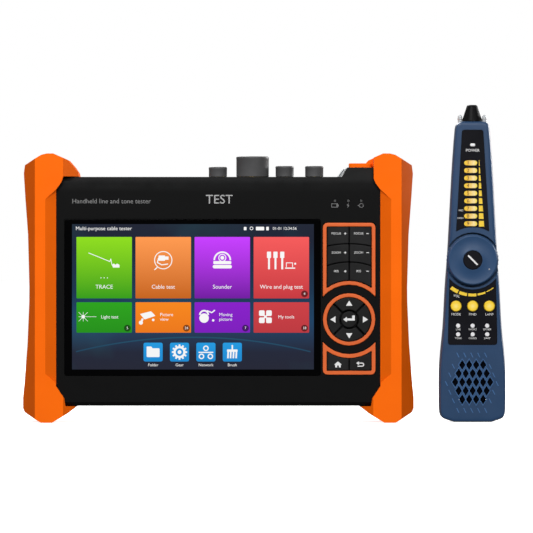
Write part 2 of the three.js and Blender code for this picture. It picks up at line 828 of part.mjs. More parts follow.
function lamp(x) {
  const { radius, top } = LAMP;
  const neck = top - radius;
  const dome = [30, 60].map((angle) => {
    const turn = THREE.MathUtils.degToRad(angle);
    return [radius * Math.cos(turn), neck + radius * Math.sin(turn)];
  });
  return turned(
    [[0, PROBE_TOP - 5], [radius, PROBE_TOP - 5], [radius, neck], ...dome, [0, top]],
    x,
    PROBE_PARTING,
    12,
  );
}

// The thumbwheel: a plain face, and behind it a wider rim with ribs that stick out of both flanks.
function dialWheel() {
  const ribs = 40;
  const toothed = Array.from({ length: 2 * ribs }, (_, i) => {
    const angle = (i / ribs) * Math.PI;
    const radius = i % 2 ? DIAL.rim - 0.6 : DIAL.rim;
    return [radius * Math.cos(angle), DIAL.z + radius * Math.sin(angle)];
  });
  return cut(
    join(
      slab(circle(0, DIAL.z, DIAL.face, 40), DIAL.front, DIAL.back - 1, [], 0.8),
      slab(toothed, DIAL.shoulder + 0.3, DIAL.back),
    ),
    disc(0, DIAL.z, DIAL.cap + 0.2, DIAL.front - 1, DIAL.front + 1.4, 24),
    disc(0, DIAL.z, DIAL_PIVOT_RADIUS + 0.2, DIAL.front + 2.4, DIAL.back + 1, 12),
  );
}

const dialCap = () =>
  slab(circle(0, DIAL.z, DIAL.cap, 24), DIAL.front - 0.2, DIAL.front + 1.2, [], 0.3);

const dialShaft = () => disc(0, DIAL.z, DIAL_PIVOT_RADIUS, DIAL.front + 2.6, 0, 12);

function potentiometer() {
  const front = BOARD_FRONT + 1.6 + GAP;
  return cut(
    disc(0, DIAL.z, 7, front, front + 5.5, 18),
    disc(0, DIAL.z, DIAL_PIVOT_RADIUS + 0.2, front - 1, 0.5, 12),
  );
}

const grown = (places, radius) => places.map(([x, z]) => circle(x, z, radius, 12));

const upperLabel = () =>
  slab(upperLabelOutline(), LABEL_FRONT, LABEL_BACK, [
    ...pillPlaces().map(([x, z]) => pill(x, z, PILLS.half + 0.2, PILLS.radius + 0.2, 5)),
    pill(0, POWER_LAMP_Z, 1.9, 1.1, 4),
  ]);

const lowerLabel = () =>
  slab(lowerLabelOutline(), LABEL_FRONT, LABEL_BACK, [
    ...grown(buttonPlaces(), BUTTONS.radius + 0.25),
    ...grown(statusPlaces(), STATUS.radius + 0.2),
  ]);

// Ten windows on one clear bar behind the upper label: nine signal bars and the power light.
function signalGuide() {
  const back = PROBE_FRONT + PROBE_WALL + GAP;
  const last = PILLS.first - (PILLS.count - 1) * PILLS.pitch;
  return join(
    box(PILLS.x - 4, PILLS.x + 4, back, back + 1.2, last - 2, POWER_LAMP_Z + 2),
    ...pillPlaces().map(([x, z]) =>
      slab(pill(x, z, PILLS.half, PILLS.radius, 5), PROBE_FRONT - 0.1, back + 0.5),
    ),
    slab(pill(0, POWER_LAMP_Z, 1.7, 0.9, 4), PROBE_FRONT - 0.1, back + 0.5),
  );
}

function statusGuide() {
  const back = PROBE_FRONT + PROBE_WALL + GAP;
  const [high, low] = STATUS.rows;
  return join(
    box(-12, 12, back, back + 1.2, low - 2, high + 2),
    ...statusPlaces().map(([x, z]) =>
      disc(x, z, STATUS.radius, PROBE_FRONT - 0.4, back + 0.5, 12),
    ),
  );
}

// A probe button: a round cap with a wider foot behind the shell.
function probeButton([x, z]) {
  const back = PROBE_FRONT + PROBE_WALL + GAP;
  return join(
    slab(circle(x, z, BUTTONS.radius, 16), PROBE_FRONT - 1.3, back + 1, [], 0.4),
    disc(x, z, BUTTONS.radius + 0.9, back + 0.1, back + 1.1, 16),
  );
}

const probeBoard = () =>
  cut(
    column(roundedBox(-8.8, BOARD_FRONT, 8.8, BOARD_FRONT + 1.6, 0.3, 1), 68, 184),
    disc(0, DIAL.z, DIAL_PIVOT_RADIUS + 0.5, BOARD_FRONT - 1, BOARD_FRONT + 3, 12),
  );

const probeSpeaker = () => disc(0, DIAMOND.z, 15, PROBE_FRONT + 2.3, PROBE_FRONT + 6.2, 24);
const blockBattery = () =>
  column(roundedBox(-13, -5.4, 13, PROBE_BACK - PROBE_WALL - 1, 2), 15.5, 63);

function batteryDoor() {
  const { half, low, high } = DOOR;
  return slab(roundedBox(-half, low, half, high, 2), PROBE_BACK - PROBE_WALL, PROBE_BACK);
}

// ---------------------------------------------------------------- assembly

const kit = new THREE.Group();
const tester = new THREE.Group();
tester.position.x = TESTER_X;
const probe = new THREE.Group();
probe.position.x = PROBE_X;
kit.add(tester, probe);

function place(group, name, made, material) {
  const { numProp, vertProperties, triVerts } = made.getMesh();
  const geometry = new THREE.BufferGeometry();
  geometry.setAttribute("position", new THREE.BufferAttribute(vertProperties, numProp));
  geometry.setIndex(new THREE.BufferAttribute(triVerts, 1));
  geometry.computeVertexNormals();
  const mesh = new THREE.Mesh(geometry, material);
  mesh.name = name;
  group.add(mesh);
  return mesh;
}

place(tester, "tester_front_housing", frontHousing(), BLACK_PLASTIC);
place(tester, "tester_rear_housing", rearHousing(), BLACK_PLASTIC);
place(tester, "left_bumper", bumper(), ORANGE_RUBBER).scale.x = -1;
place(tester, "right_bumper", rightBumper(), ORANGE_RUBBER);
place(tester, "touch_glass", touchGlass(), DARK_GLASS);
place(tester, "display_panel", displayPanel(), LIT_DISPLAY);
place(tester, "upper_key_trim", upperTrim(), ORANGE_TRIM);
place(tester, "ring_key_trim", ringTrim(), ORANGE_TRIM);
place(tester, "lower_key_trim", lowerTrim(), ORANGE_TRIM);
for (const { name, left, right } of rowKeys()) {
  place(tester, `${name}_up_key`, key(left), KEY_RUBBER);
  place(tester, `${name}_down_key`, key(right), KEY_RUBBER);
}
const DIRECTIONS = { right: 0, up: 90, left: 180, down: 270 };
for (const [name, angle] of Object.entries(DIRECTIONS)) {
  place(tester, `arrow_${name}_key`, key(directionKey(angle)), KEY_RUBBER);
}
place(tester, "enter_key", key(circle(KEYPAD.x, KEYPAD.z, 5.6, 20)), KEY_RUBBER);
place(tester, "home_key", key(onKeypad(upended(mirrored(lowerKey())))), KEY_RUBBER);
place(tester, "return_key", key(onKeypad(upended(lowerKey()))), KEY_RUBBER);
place(tester, "keypad_sheet", keypadSheet(), KEY_RUBBER);
place(tester, "indicator_light_guide", indicatorGuide(), WHITE_LIGHT);
for (const item of PORTS) {
  place(tester, item.name, port(item), BRASS);
  place(tester, `${item.name}_cap`, portCap(item), CAP_RUBBER);
}
place(tester, "power_button", powerButton(), ORANGE_RUBBER);
place(tester, "cable_jack_block", jackBlock(), BLACK_PLASTIC);
place(tester, "tester_main_board", mainBoard(), BOARD);
place(tester, "tester_speaker", testerSpeaker(), SPEAKER_PAPER);
place(tester, "tester_battery_pack", batteryPack(), BATTERY_WRAP);
place(tester, "tester_battery_cover", batteryCover(), BLACK_PLASTIC);
place(tester, "battery_cover_screw", coverScrew(), STEEL);

place(probe, "probe_front_shell", probeFrontShell(), BLUE_PLASTIC);
place(probe, "probe_rear_shell", probeRearShell(), BLUE_PLASTIC);
place(probe, "probe_tip", probeTip(), BLACK_PLASTIC);
place(probe, "probe_sensor_rod", sensorRod(), STEEL);
place(probe, "left_lamp", lamp(-LAMP.x), CLEAR_LENS);
place(probe, "right_lamp", lamp(LAMP.x), CLEAR_LENS);
place(probe, "dial_wheel", dialWheel(), BLUE_PLASTIC);
place(probe, "dial_centre_cap", dialCap(), LABEL_FILM);
place(probe, "dial_shaft", dialShaft(), STEEL);
place(probe, "dial_potentiometer", potentiometer(), STEEL);
place(probe, "upper_label", upperLabel(), LABEL_FILM);
place(probe, "lower_label", lowerLabel(), LABEL_FILM);
place(probe, "signal_light_guide", signalGuide(), YELLOW_LIGHT);
place(probe, "status_light_guide", statusGuide(), WHITE_LIGHT);
["mode", "search", "lamp"].forEach((name, i) => {
  place(probe, `${name}_button`, probeButton(buttonPlaces()[i]), YELLOW_KEY);
});
place(probe, "probe_board", probeBoard(), BOARD);
place(probe, "probe_speaker", probeSpeaker(), SPEAKER_PAPER);
place(probe, "probe_battery", blockBattery(), BATTERY_WRAP);
place(probe, "probe_battery_door", batteryDoor(), BLUE_PLASTIC);

export default kit;
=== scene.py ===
"""A cable-tracing kit: a rugged handheld tester, and the tone probe that goes with it.

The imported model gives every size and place. This file makes the surfaces that are seen: moulded
shells with softened edges, the lit screen, key signs, caps, connectors, the fluted tip, the
ribbed dial and the printed labels. Drawings are in millimetres; objects are in metres.
"""

import json
import math

import bmesh
import bpy
from bpy.props import FloatProperty, FloatVectorProperty, PointerProperty
from mathutils import Matrix, Vector

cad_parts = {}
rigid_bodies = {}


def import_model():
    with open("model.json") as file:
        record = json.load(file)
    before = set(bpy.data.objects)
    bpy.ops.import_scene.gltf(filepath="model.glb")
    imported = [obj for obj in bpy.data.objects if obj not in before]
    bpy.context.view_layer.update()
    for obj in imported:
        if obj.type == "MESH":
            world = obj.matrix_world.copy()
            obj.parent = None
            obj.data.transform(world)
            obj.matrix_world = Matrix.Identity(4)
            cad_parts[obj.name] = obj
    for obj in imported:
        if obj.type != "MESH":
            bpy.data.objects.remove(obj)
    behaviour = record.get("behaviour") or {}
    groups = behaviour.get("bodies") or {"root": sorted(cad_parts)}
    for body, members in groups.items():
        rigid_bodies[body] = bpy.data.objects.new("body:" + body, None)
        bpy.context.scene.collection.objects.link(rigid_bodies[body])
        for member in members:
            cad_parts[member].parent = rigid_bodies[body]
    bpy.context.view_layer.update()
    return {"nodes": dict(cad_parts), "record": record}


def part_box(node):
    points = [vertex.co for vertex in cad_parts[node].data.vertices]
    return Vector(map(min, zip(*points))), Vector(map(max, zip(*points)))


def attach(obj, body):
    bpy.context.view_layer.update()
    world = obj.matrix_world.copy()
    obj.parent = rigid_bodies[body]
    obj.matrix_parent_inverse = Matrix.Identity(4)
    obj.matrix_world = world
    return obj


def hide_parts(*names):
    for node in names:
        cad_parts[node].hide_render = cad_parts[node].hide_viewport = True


bl_info = {
    "name": "Tone Probe Kit",
    "version": (1, 0, 0),
    "blender": (4, 5, 0),
    "location": "View3D > Sidebar > Probe Kit",
    "description": "Makes the visible pieces of a cable tester and its tone probe",
    "category": "Object",
}

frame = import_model()

MM = 0.001
RECORD = frame["record"]
BODY_OF = {node: body for body, nodes in RECORD["behaviour"]["bodies"].items() for node in nodes}
SLOT_OF = {entry["node"]: entry["material_slot"] for entry in RECORD["subparts"]}
TURN = 2 * math.pi
# A drawing in X and Y stands up with its front towards -Y.
UPRIGHT = Matrix.Rotation(math.radians(90), 4, "X")
# Prints stand this far in front of what they are printed on, in millimetres.
PRINT_GAP = 0.02
SHELL_EDGE = 0.3 * MM


def middle(node):
    """The middle of a node's box, in millimetres."""
    low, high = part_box(node)
    return (low + high) / 2 / MM


def low_corner(node):
    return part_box(node)[0] / MM


def high_corner(node):
    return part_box(node)[1] / MM


TESTER_X = (low_corner("left_bumper").x + high_corner("right_bumper").x) / 2
PROBE_X = middle("dial_wheel").x
KEYPAD = middle("ring_key_trim")
DIAL = middle("dial_wheel")
HOUSING_FRONT = low_corner("tester_front_housing").y
HOUSING_BACK = high_corner("tester_rear_housing").y
HOUSING_TOP = high_corner("cable_jack_block").z + 0.1
PROBE_FACE = low_corner("probe_front_shell").y


# ---------------------------------------------------------------- settings


def colour(name, description, value):
    return FloatVectorProperty(
        name=name, description=description, subtype="COLOR", size=3, min=0, max=1, default=value
    )


def length(name, description, value, least=0):
    return FloatProperty(
        name=name, description=description, unit="LENGTH", min=least, default=value
    )


class KitColours(bpy.types.PropertyGroup):
    bumper: colour("Bumpers", "Orange rubber of the tester's end bumpers", (1.0, 0.15, 0.002))
    trim: colour("Key trims", "Orange frames round the keys", (0.74, 0.135, 0.03))
    housing: colour("Housing", "Black plastic of the tester", (0.0046, 0.0047, 0.0048))
    keys: colour("Keys", "Dark rubber of the tester's keys", (0.0095, 0.0095, 0.0098))
    caps: colour("Port caps", "Grey rubber of the caps over the ports", (0.07, 0.07, 0.072))
    probe: colour("Probe", "Blue plastic of the probe and its dial", (0.02, 0.055, 0.128))
    label: colour("Labels", "Black film of the probe's labels", (0.006, 0.006, 0.009))
    yellow: colour("Yellow", "Yellow of the probe's buttons and bars", (0.93, 0.62, 0.012))
    print_white: colour("White print", "White ink of the signs", (0.8, 0.8, 0.8))


class KitSizes(bpy.types.PropertyGroup):
    """Sizes that shape the fine surfaces."""

    fine_edge: length("Fine edge", "Rounding of the edges of small plastic pieces", 0.35 * MM)
    print_depth: length("Print depth", "Thickness of printed signs", 0.03 * MM)
    camera_distance: length("Camera distance", "From the camera to the tester's front", 3.5, 0.3)


def colours():
    return bpy.context.scene.kit_colours


def sizes():
    return bpy.context.scene.kit_sizes


# ---------------------------------------------------------------- meshes


def add_piece(name, bm, body, material, replaces=(), smooth=35):
    """Puts a finished bmesh, already in place, into an object that rides on a body."""
    mesh = bpy.data.meshes.new(name)
    bm.to_mesh(mesh)
    bm.free()
    mesh.shade_smooth()
    mesh.set_sharp_from_angle(angle=math.radians(smooth))
    mesh.materials.append(material)
    made = bpy.data.objects.new(name, mesh)
    bpy.context.scene.collection.objects.link(made)
    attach(made, body)
    if replaces:
        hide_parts(*replaces)
    return made


def merged_copy(node):
    """A bmesh of a node with its loose triangles joined into whole flat faces."""
    bm = bmesh.new()
    bm.from_mesh(frame["nodes"][node].data)
    bmesh.ops.remove_doubles(bm, verts=bm.verts, dist=1e-5)
    bmesh.ops.dissolve_limit(
        bm, angle_limit=math.radians(0.3), verts=bm.verts, edges=bm.edges
    )
    return bm


def bevel_edges(bm, edges, width, segments=2):
    bmesh.ops.bevel(
        bm,
        geom=edges,
        offset=width,
        offset_type="OFFSET",
        affect="EDGES",
        segments=segments,
        profile=0.5,
        material=-1,
        clamp_overlap=True,
    )


def creases(bm, angle, where=None):
    """Edges that bend by more than an angle, in degrees, and pass a test of their middle."""
    limit = math.radians(angle)
    found = [e for e in bm.edges if len(e.link_faces) == 2 and e.calc_face_angle() > limit]
    if where:
        found = [e for e in found if where((e.verts[0].co + e.verts[1].co) / 2 / MM)]
    return found


def refined(node, material, width=None, segments=2, angle=30, where=None, smooth=35):
    """A piece that stands for a node, with its sharp edges rounded."""
    bm = merged_copy(node)
    width = sizes().fine_edge if width is None else width
    bevel_edges(bm, creases(bm, angle, where), width, segments)
    name = node + "_surface"
    made = add_piece(name, bm, BODY_OF[node], material, [node], smooth)
    flat_faces = made.modifiers.new("flat_faces", "WEIGHTED_NORMAL")
    flat_faces.keep_sharp = True
    flat_faces.weight = 100
    return made


def whole_turn(bm, steps):
    """Turns everything in a bmesh about the Z axis and closes the seam and poles."""
    bmesh.ops.spin(
        bm,
        geom=bm.verts[:] + bm.edges[:],
        cent=(0, 0, 0),
        axis=(0, 0, 1),
        dvec=(0, 0, 0),
        angle=TURN,
        steps=steps,
        use_merge=True,
        use_duplicate=False,
    )
    bmesh.ops.remove_doubles(bm, verts=bm.verts, dist=1e-6)
    bmesh.ops.recalc_face_normals(bm, faces=bm.faces)


def thicken(bm, faces, vec):
    """Pulls faces along a vector into a solid."""
    grown = bmesh.ops.extrude_face_region(bm, geom=faces)
    moved = [v for v in grown["geom"] if isinstance(v, bmesh.types.BMVert)]
    bmesh.ops.translate(bm, verts=moved, vec=vec)
    bmesh.ops.recalc_face_normals(bm, faces=bm.faces)


def moved_to(spot):
    """A move to a place in millimetres."""
    return Matrix.Translation(Vector(spot) * MM)


def upright_at(x, y, z):
    """The place of a drawing that is read from the front."""
    return Matrix.Translation((x * MM, y * MM, z * MM)) @ UPRIGHT


def turned(profile, centre, axis="Z", steps=48):
    """A turned shape from its profile of [radius, distance along the axis], in millimetres."""
    bm = bmesh.new()
    corners = [bm.verts.new((r * MM, 0, h * MM)) for r, h in profile]
    for first, second in zip(corners, corners[1:]):
        bm.edges.new((first, second))
    whole_turn(bm, steps)
    turn = UPRIGHT if axis == "Y" else Matrix.Identity(4)
    bm.transform(moved_to(centre) @ turn)
    return bm


def facing_back(x, z, y):
    """The place of a drawing that is read from behind."""
    about = Matrix.Rotation(math.pi, 4, "Z")
    return moved_to((x, y, z)) @ about @ UPRIGHT @ Matrix.Scale(MM, 4)


class Drawing:
    """Flat shapes on one upright plane, in millimetres about a centre, given a thickness."""

    # Each shape lies this far in front of the last, so none shares a plane.
    LAYER = 0.002

    def __init__(self, x=0, z=0, y=0, scale=1.0, turn=0.0, matrix=None):
        self.bm = bmesh.new()
        self.layer = 0.0
        self.place = matrix or (
            upright_at(x, y, z)
            @ Matrix.Rotation(math.radians(turn), 4, "Z")
            @ Matrix.Scale(scale * MM, 4)
        )

    def polygon(self, points, corner=0.0):
        """A closed outline, with its corners rounded if a radius is given."""
        self.layer += self.LAYER
        corners = [self.bm.verts.new((x, y, self.layer)) for x, y in points]
        self.bm.faces.new(corners)
        if corner:
            bmesh.ops.bevel(
                self.bm,
                geom=corners,
                offset=corner,
                affect="VERTICES",
                segments=3,
                profile=0.5,
                material=-1,
            )
        return self

    def box(self, left, low, right, high, corner=0.0):
        return self.polygon([(left, low), (right, low), (right, high), (left, high)], corner)

    def bar(self, x1, y1, x2, y2, width):
        """A straight stroke between two points."""
        along = Vector((x2 - x1, y2 - y1)).normalized() * width / 2
        across = Vector((-along.y, along.x))
        a, b = Vector((x1, y1)), Vector((x2, y2))
        return self.polygon([(a - across)[:], (b - across)[:], (b + across)[:], (a + across)[:]])

    def line(self, points, width):
        for (x1, y1), (x2, y2) in zip(points, points[1:]):
            self.bar(x1, y1, x2, y2, width)
            self.disc(x2, y2, width / 2, 10)
        return self.disc(*points[0], width / 2, 10)

    def disc(self, x, y, radius, segments=28):
        self.layer += self.LAYER
        bmesh.ops.create_circle(
            self.bm,
            cap_ends=True,
            segments=segments,
            radius=radius,
            matrix=Matrix.Translation((x, y, self.layer)),
        )
        return self

    def ring(self, x, y, radius, width, start=0, sweep=360, steps=32):
        """A ring, or part of one from a start angle on, with that outer radius."""
        self.layer += self.LAYER
        angle = math.radians(start)
        out = Vector((math.cos(angle), math.sin(angle), 0))
        centre = Vector((x, y, self.layer))
        ends = [self.bm.verts.new(centre + out * r) for r in (radius - width, radius)]
        bmesh.ops.spin(
            self.bm,
            geom=[*ends, self.bm.edges.new(ends)],
            cent=centre,
            axis=(0, 0, 1),
            dvec=(0, 0, 0),
            angle=math.radians(sweep),
            steps=steps,
            use_merge=sweep == 360,
            use_duplicate=False,
        )
        return self

    def finish(self, name, body, slot, material, depth=None, edge=0.0):
        """Thickens the drawing backwards from its plane and makes it a piece."""
        depth = (sizes().print_depth if depth is None else depth) / self.place.median_scale
        bm = self.bm
        thicken(bm, bm.faces[:], (0, 0, -depth))
        if edge:
            front = [e for e in creases(bm, 40) if min(v.co.z for v in e.verts) > -depth / 2]
            bevel_edges(bm, front, edge / self.place.median_scale)
        bm.transform(self.place)
        return add_piece(name, bm, body, material, smooth=30)


# A capital letter is this share of the type's size.
CAPITAL_SHARE = 0.7


def lettering(name, words, x, z, y, height, body, material, turn=0, align="CENTER"):
    """Words as thin raised print, with the height of a capital letter."""
    curve = bpy.data.curves.new(name, "FONT")
    curve.body = words
    curve.size = height * MM / CAPITAL_SHARE
    curve.align_x = align
    curve.align_y = "CENTER"
    curve.resolution_u = 3
    curve.extrude = sizes().print_depth / 2
    holder = bpy.data.objects.new(name, curve)
    bpy.context.scene.collection.objects.link(holder)
    bpy.context.view_layer.update()
    shape = bpy.data.meshes.new_from_object(holder.evaluated_get(bpy.context.view_layer.depsgraph))
    bm = bmesh.new()
    bm.from_mesh(shape)
    bpy.data.objects.remove(holder)
    bpy.data.curves.remove(curve)
    bpy.data.meshes.remove(shape)
    bmesh.ops.remove_doubles(bm, verts=bm.verts, dist=1e-7)
    bm.transform(upright_at(x, y, z) @ Matrix.Rotation(math.radians(turn), 4, "Z"))
    return add_piece(name, bm, body, material)


# ---------------------------------------------------------------- materials


class Nodes:
    """Short calls for building one material's node tree."""

    def __init__(self, name):
        self.material = bpy.data.materials.new(name)
        self.material.use_nodes = True
        self.tree = self.material.node_tree
        self.shader = self.tree.nodes["Principled BSDF"]
        self.spot = self.add("ShaderNodeTexCoord").outputs["Object"]

    def add(self, kind, **values):
        node = self.tree.nodes.new(kind)
        for key, value in values.items():
            setattr(node, key, value)
        return node

    def link(self, source, socket):
        self.tree.links.new(source, socket)

    def set(self, **values):
        """Sets the shader's own sockets; an underscore stands for a space."""
        for key, value in values.items():
            self.shader.inputs[key.replace("_", " ")].default_value = value

    def paint(self, source, socket="Base Color"):
        """Feeds one of the shader's own sockets."""
        self.link(source, self.shader.inputs[socket])

    def shine(self, scale, low, high, detail=3.0):
        """Roughness that wanders between two values."""
        self.paint(self.spread(self.noise(scale, detail), low, high), "Roughness")

    def noise(self, scale, detail=3.0, roughness=0.55):
        node = self.add("ShaderNodeTexNoise")
        node.inputs["Scale"].default_value = scale
        node.inputs["Detail"].default_value = detail
        node.inputs["Roughness"].default_value = roughness
        self.link(self.spot, node.inputs["Vector"])
        return node.outputs["Fac"]

    def spread(self, source, low, high, start=0.3, end=0.7):
        """Turns a value between start and end into one between low and high."""
        node = self.add("ShaderNodeMapRange")
        for socket, value in zip(node.inputs[1:5], (start, end, low, high)):
            socket.default_value = value
        self.link(source, node.inputs[0])
        return node.outputs[0]

    def ramp(self, source, stops):
        """A colour ramp from a list of (place, colour)."""
        node = self.add("ShaderNodeValToRGB")
        elements = node.color_ramp.elements
        while len(elements) < len(stops):
            elements.new(0.5)
        for element, (place, shade) in zip(elements, stops):
            element.position = place
            element.color = (*shade, 1)
        self.link(source, node.inputs[0])
        return node.outputs[0]

    def bump(self, height, strength, distance):
        node = self.add("ShaderNodeBump")
        node.inputs["Strength"].default_value = strength
        node.inputs["Distance"].default_value = distance
        self.link(height, node.inputs["Height"])
        previous = self.shader.inputs["Normal"]
        if previous.is_linked:
            self.link(previous.links[0].from_socket, node.inputs["Normal"])
        self.link(node.outputs["Normal"], previous)

    def height(self, low, high):
        """0 at one height of the object and 1 at another, in millimetres."""
        node = self.add("ShaderNodeSeparateXYZ")
        self.link(self.spot, node.inputs[0])
        return self.spread(node.outputs["Z"], 0, 1, low * MM, high * MM)


def tinted(shade, factor):
    return tuple(min(1.0, channel * factor) for channel in shade)


def moulded(name, shade, roughness, grain, relief, mottle, gloss=0.5):
    """Moulded plastic or rubber: fine grain, a slightly uneven shine and faint colour clouds."""
    made = Nodes(name)
    clouds = [(0.35, tinted(shade, 1 - mottle)), (0.65, tinted(shade, 1 + mottle))]
    made.paint(made.ramp(made.noise(35, 4), clouds))
    made.shine(90, roughness - 0.06, roughness + 0.06, 4)
    made.bump(made.noise(grain, 2), relief, 0.06 * MM)
    made.set(Specular_IOR_Level=gloss)
    return made.material


def ink(name, shade, roughness=0.45):
    """Printed ink, a little uneven in how much it covers."""
    made = Nodes(name)
    made.paint(made.ramp(made.noise(900, 2), [(0.3, tinted(shade, 0.88)), (0.7, shade)]))
    made.shine(400, roughness - 0.05, roughness + 0.05)
    return made.material


def lit(name, low_shade, high_shade, low, high):
    """Part of a lit display: a colour that runs from one height to another, under gloss."""
    made = Nodes(name)
    glow = made.ramp(made.height(low, high), [(0.0, low_shade), (1.0, high_shade)])
    made.paint(glow, "Emission Color")
    made.set(Base_Color=(0.002, 0.002, 0.002, 1), Emission_Strength=1.0)
    made.set(Roughness=0.12, Specular_IOR_Level=0.35)
    return made.material


def metal(name, shade, roughness=0.3):
    """Metal with fine grain and light stains."""
    made = Nodes(name)
    made.paint(made.ramp(made.noise(160, 3), [(0.3, tinted(shade, 0.8)), (0.7, shade)]))
    made.shine(700, roughness - 0.08, roughness + 0.1)
    made.bump(made.noise(2500, 2), 0.2, 0.02 * MM)
    made.set(Metallic=1.0)
    return made.material


def amber_window():
    """Moulded amber at one end that clears to cream at the other."""
    made = Nodes("amber_window")
    cloud = made.noise(700, 3)
    place = made.add("ShaderNodeSeparateXYZ")
    made.link(made.spot, place.inputs[0])
    along = made.spread(place.outputs["X"], 0, 1, (PROBE_X - 6) * MM, (PROBE_X + 3.4) * MM)
    mixed = made.add("ShaderNodeMath", operation="MULTIPLY_ADD")
    made.link(cloud, mixed.inputs[0])
    mixed.inputs[1].default_value = 0.2
    made.link(along, mixed.inputs[2])
    shade = made.ramp(
        mixed.outputs[0],
        [
            (0.1, (0.93, 0.68, 0.05)),
            (0.36, (0.85, 0.47, 0.016)),
            (0.62, (0.9, 0.62, 0.16)),
            (0.82, (0.93, 0.74, 0.36)),
            (1.0, (0.95, 0.72, 0.07)),
        ],
    )
    made.paint(shade)
    made.paint(made.spread(cloud, 0.2, 0.35), "Roughness")
    return made.material


def button_rubber(shade):
    """Yellow rubber, paler in the middle and darker towards the edge, one ring for each of the
    probe's buttons.
    """
    made = Nodes("yellow_rubber")
    folded = made.add("ShaderNodeVectorMath", operation="WRAP")
    pitch = (high_corner("lamp_button").x - high_corner("search_button").x) * MM
    centre = middle("search_button") * MM
    made.link(made.spot, folded.inputs[0])
    folded.inputs[1].default_value = (centre.x + pitch / 2, 1, 1)
    folded.inputs[2].default_value = (centre.x - pitch / 2, -1, -1)
    out = made.add("ShaderNodeVectorMath", operation="DISTANCE")
    made.link(folded.outputs[0], out.inputs[0])
    out.inputs[1].default_value = (centre.x, low_corner("search_button").y * MM, centre.z)
    centre_to_edge = [(0.0, (0.98, 0.78, 0.22)), (0.45, (0.96, 0.68, 0.05)), (0.7, shade),
            (1.0, tinted(shade, 0.75))]
    made.paint(made.ramp(made.spread(out.outputs["Value"], 0, 1, 0, 4 * MM), centre_to_edge))
    made.shine(120, 0.35, 0.48)
    made.bump(made.noise(1200, 2), 0.15, 0.05 * MM)
    return made.material


def housing_black(shade):
    """The tester's black moulding, painted paler along its top edge: painted light, where the slope
    there faces up to the light.
    """
    made = Nodes("black_moulding")
    # Painted light: paler above 162.5 mm, where the top edge slopes up towards the lamps.
    made.paint(made.ramp(made.height(162.5, 165.5), [(0.0, shade), (1.0, tinted(shade, 2.4))]))
    made.shine(90, 0.4, 0.52, 4)
    made.bump(made.noise(1500, 2), 0.2, 0.06 * MM)
    made.set(Specular_IOR_Level=0.045)
    return made.material


def clear_plastic():
    """Water-clear moulding with faint flow marks."""
    made = Nodes("clear_plastic")
    marks = made.noise(500, 3)
    made.paint(made.ramp(marks, [(0.3, (0.5, 0.52, 0.54)), (0.7, (0.6, 0.62, 0.63))]))
    made.paint(made.spread(marks, 0.14, 0.2), "Roughness")
    made.set(Transmission_Weight=0.12, IOR=1.45)
    return made.material


MATERIALS = {}


def make_materials():
    c = colours()
    MATERIALS.update(
        housing=housing_black(c.housing),
        bumper=moulded("orange_rubber", c.bumper, 0.6, 1200, 0.2, 0.03, 0.06),
        # Painted shade: a darker orange for the bumpers' hollows and slanted flanks.
        shaded_bumper=moulded(
            "orange_painted_shade", tinted(c.bumper, 0.76), 0.6, 1200, 0.2, 0.03, 0.05
        ),
        trim=moulded("orange_trim", c.trim, 0.38, 1600, 0.1, 0.05, 0.2),
        key=moulded("key_rubber", c.keys, 0.5, 1100, 0.4, 0.35, 0.12),
        cap=moulded("cap_rubber", c.caps, 0.5, 1000, 0.35, 0.2, 0.25),
        probe=moulded("blue_moulding", c.probe, 0.36, 1300, 0.15, 0.05, 0.22),
        # Painted highlight: a paler blue for the lit edges of the grille.
        pale_probe=moulded("blue_painted_highlight", tinted(c.probe, 2.4), 0.4, 1300, 0.15, 0.05, 0.2),
        dial=moulded("blue_dial", tinted(c.probe, 1.12), 0.4, 1300, 0.12, 0.05, 0.2),
        label=moulded("label_film", c.label, 0.5, 2200, 0.08, 0.2, 0.06),
        yellow=button_rubber(c.yellow),
        tip=moulded("tip_plastic", (0.006, 0.006, 0.0065), 0.5, 1500, 0.2, 0.2, 0.1),
        glass=moulded("screen_glass", (0.0004, 0.0004, 0.0006), 0.1, 400, 0.01, 0.2, 0.06),
        white_ink=ink("white_ink", c.print_white),
        grey_ink=ink("grey_ink", tinted(c.print_white, 0.5)),
        dim_ink=ink("dim_ink", tinted(c.print_white, 0.14)),
        soft_ink=ink("soft_ink", tinted(c.print_white, 0.26)),
        faint_ink=ink("faint_ink", tinted(c.print_white, 0.035)),
        yellow_ink=ink("yellow_ink", c.yellow),
        brown_ink=ink("brown_ink", (0.06, 0.018, 0.001)),
        plate=moulded("plate_film", (0.2, 0.2, 0.205), 0.55, 700, 0.03, 0.05, 0.2),
        white_lens=moulded("white_lens", (0.82, 0.82, 0.84), 0.25, 900, 0.05, 0.04),
        amber_lens=amber_window(),
        clear=clear_plastic(),
        board=moulded("circuit_board", (0.014, 0.1, 0.04), 0.35, 600, 0.3, 0.2),
        wrap=moulded("battery_film", (0.024, 0.1, 0.26), 0.35, 500, 0.1, 0.1),
        paper=moulded("speaker_cone", (0.002, 0.003, 0.006), 0.9, 700, 0.5, 0.2, 0.03),
        steel=metal("turned_steel", (0.5, 0.51, 0.52)),
        brass=metal("turned_brass", (0.62, 0.43, 0.13)),
        gold=metal("contact_gold", (0.8, 0.55, 0.15), 0.2),
    )


SLOT_MATERIALS = {
    "housing_black": "housing",
    "bumper_orange": "bumper",
    "trim_orange": "trim",
    "key_black": "key",
    "cap_rubber": "cap",
    "glass_dark": "glass",
    "display": "glass",
    "blue_plastic": "probe",
    "label_film": "label",
    "yellow_key": "yellow",
    "yellow_light": "amber_lens",
    "white_light": "white_lens",
    "clear_lens": "clear",
    "board_green": "board",
    "steel": "steel",
    "brass": "brass",
    "battery_wrap": "wrap",
    "speaker_paper": "paper",
}


# ---------------------------------------------------------------- operators


class PieceOperator(bpy.types.Operator):
    bl_options = {"REGISTER", "UNDO"}

    def execute(self, context):
        self.make()
        return {"FINISHED"}


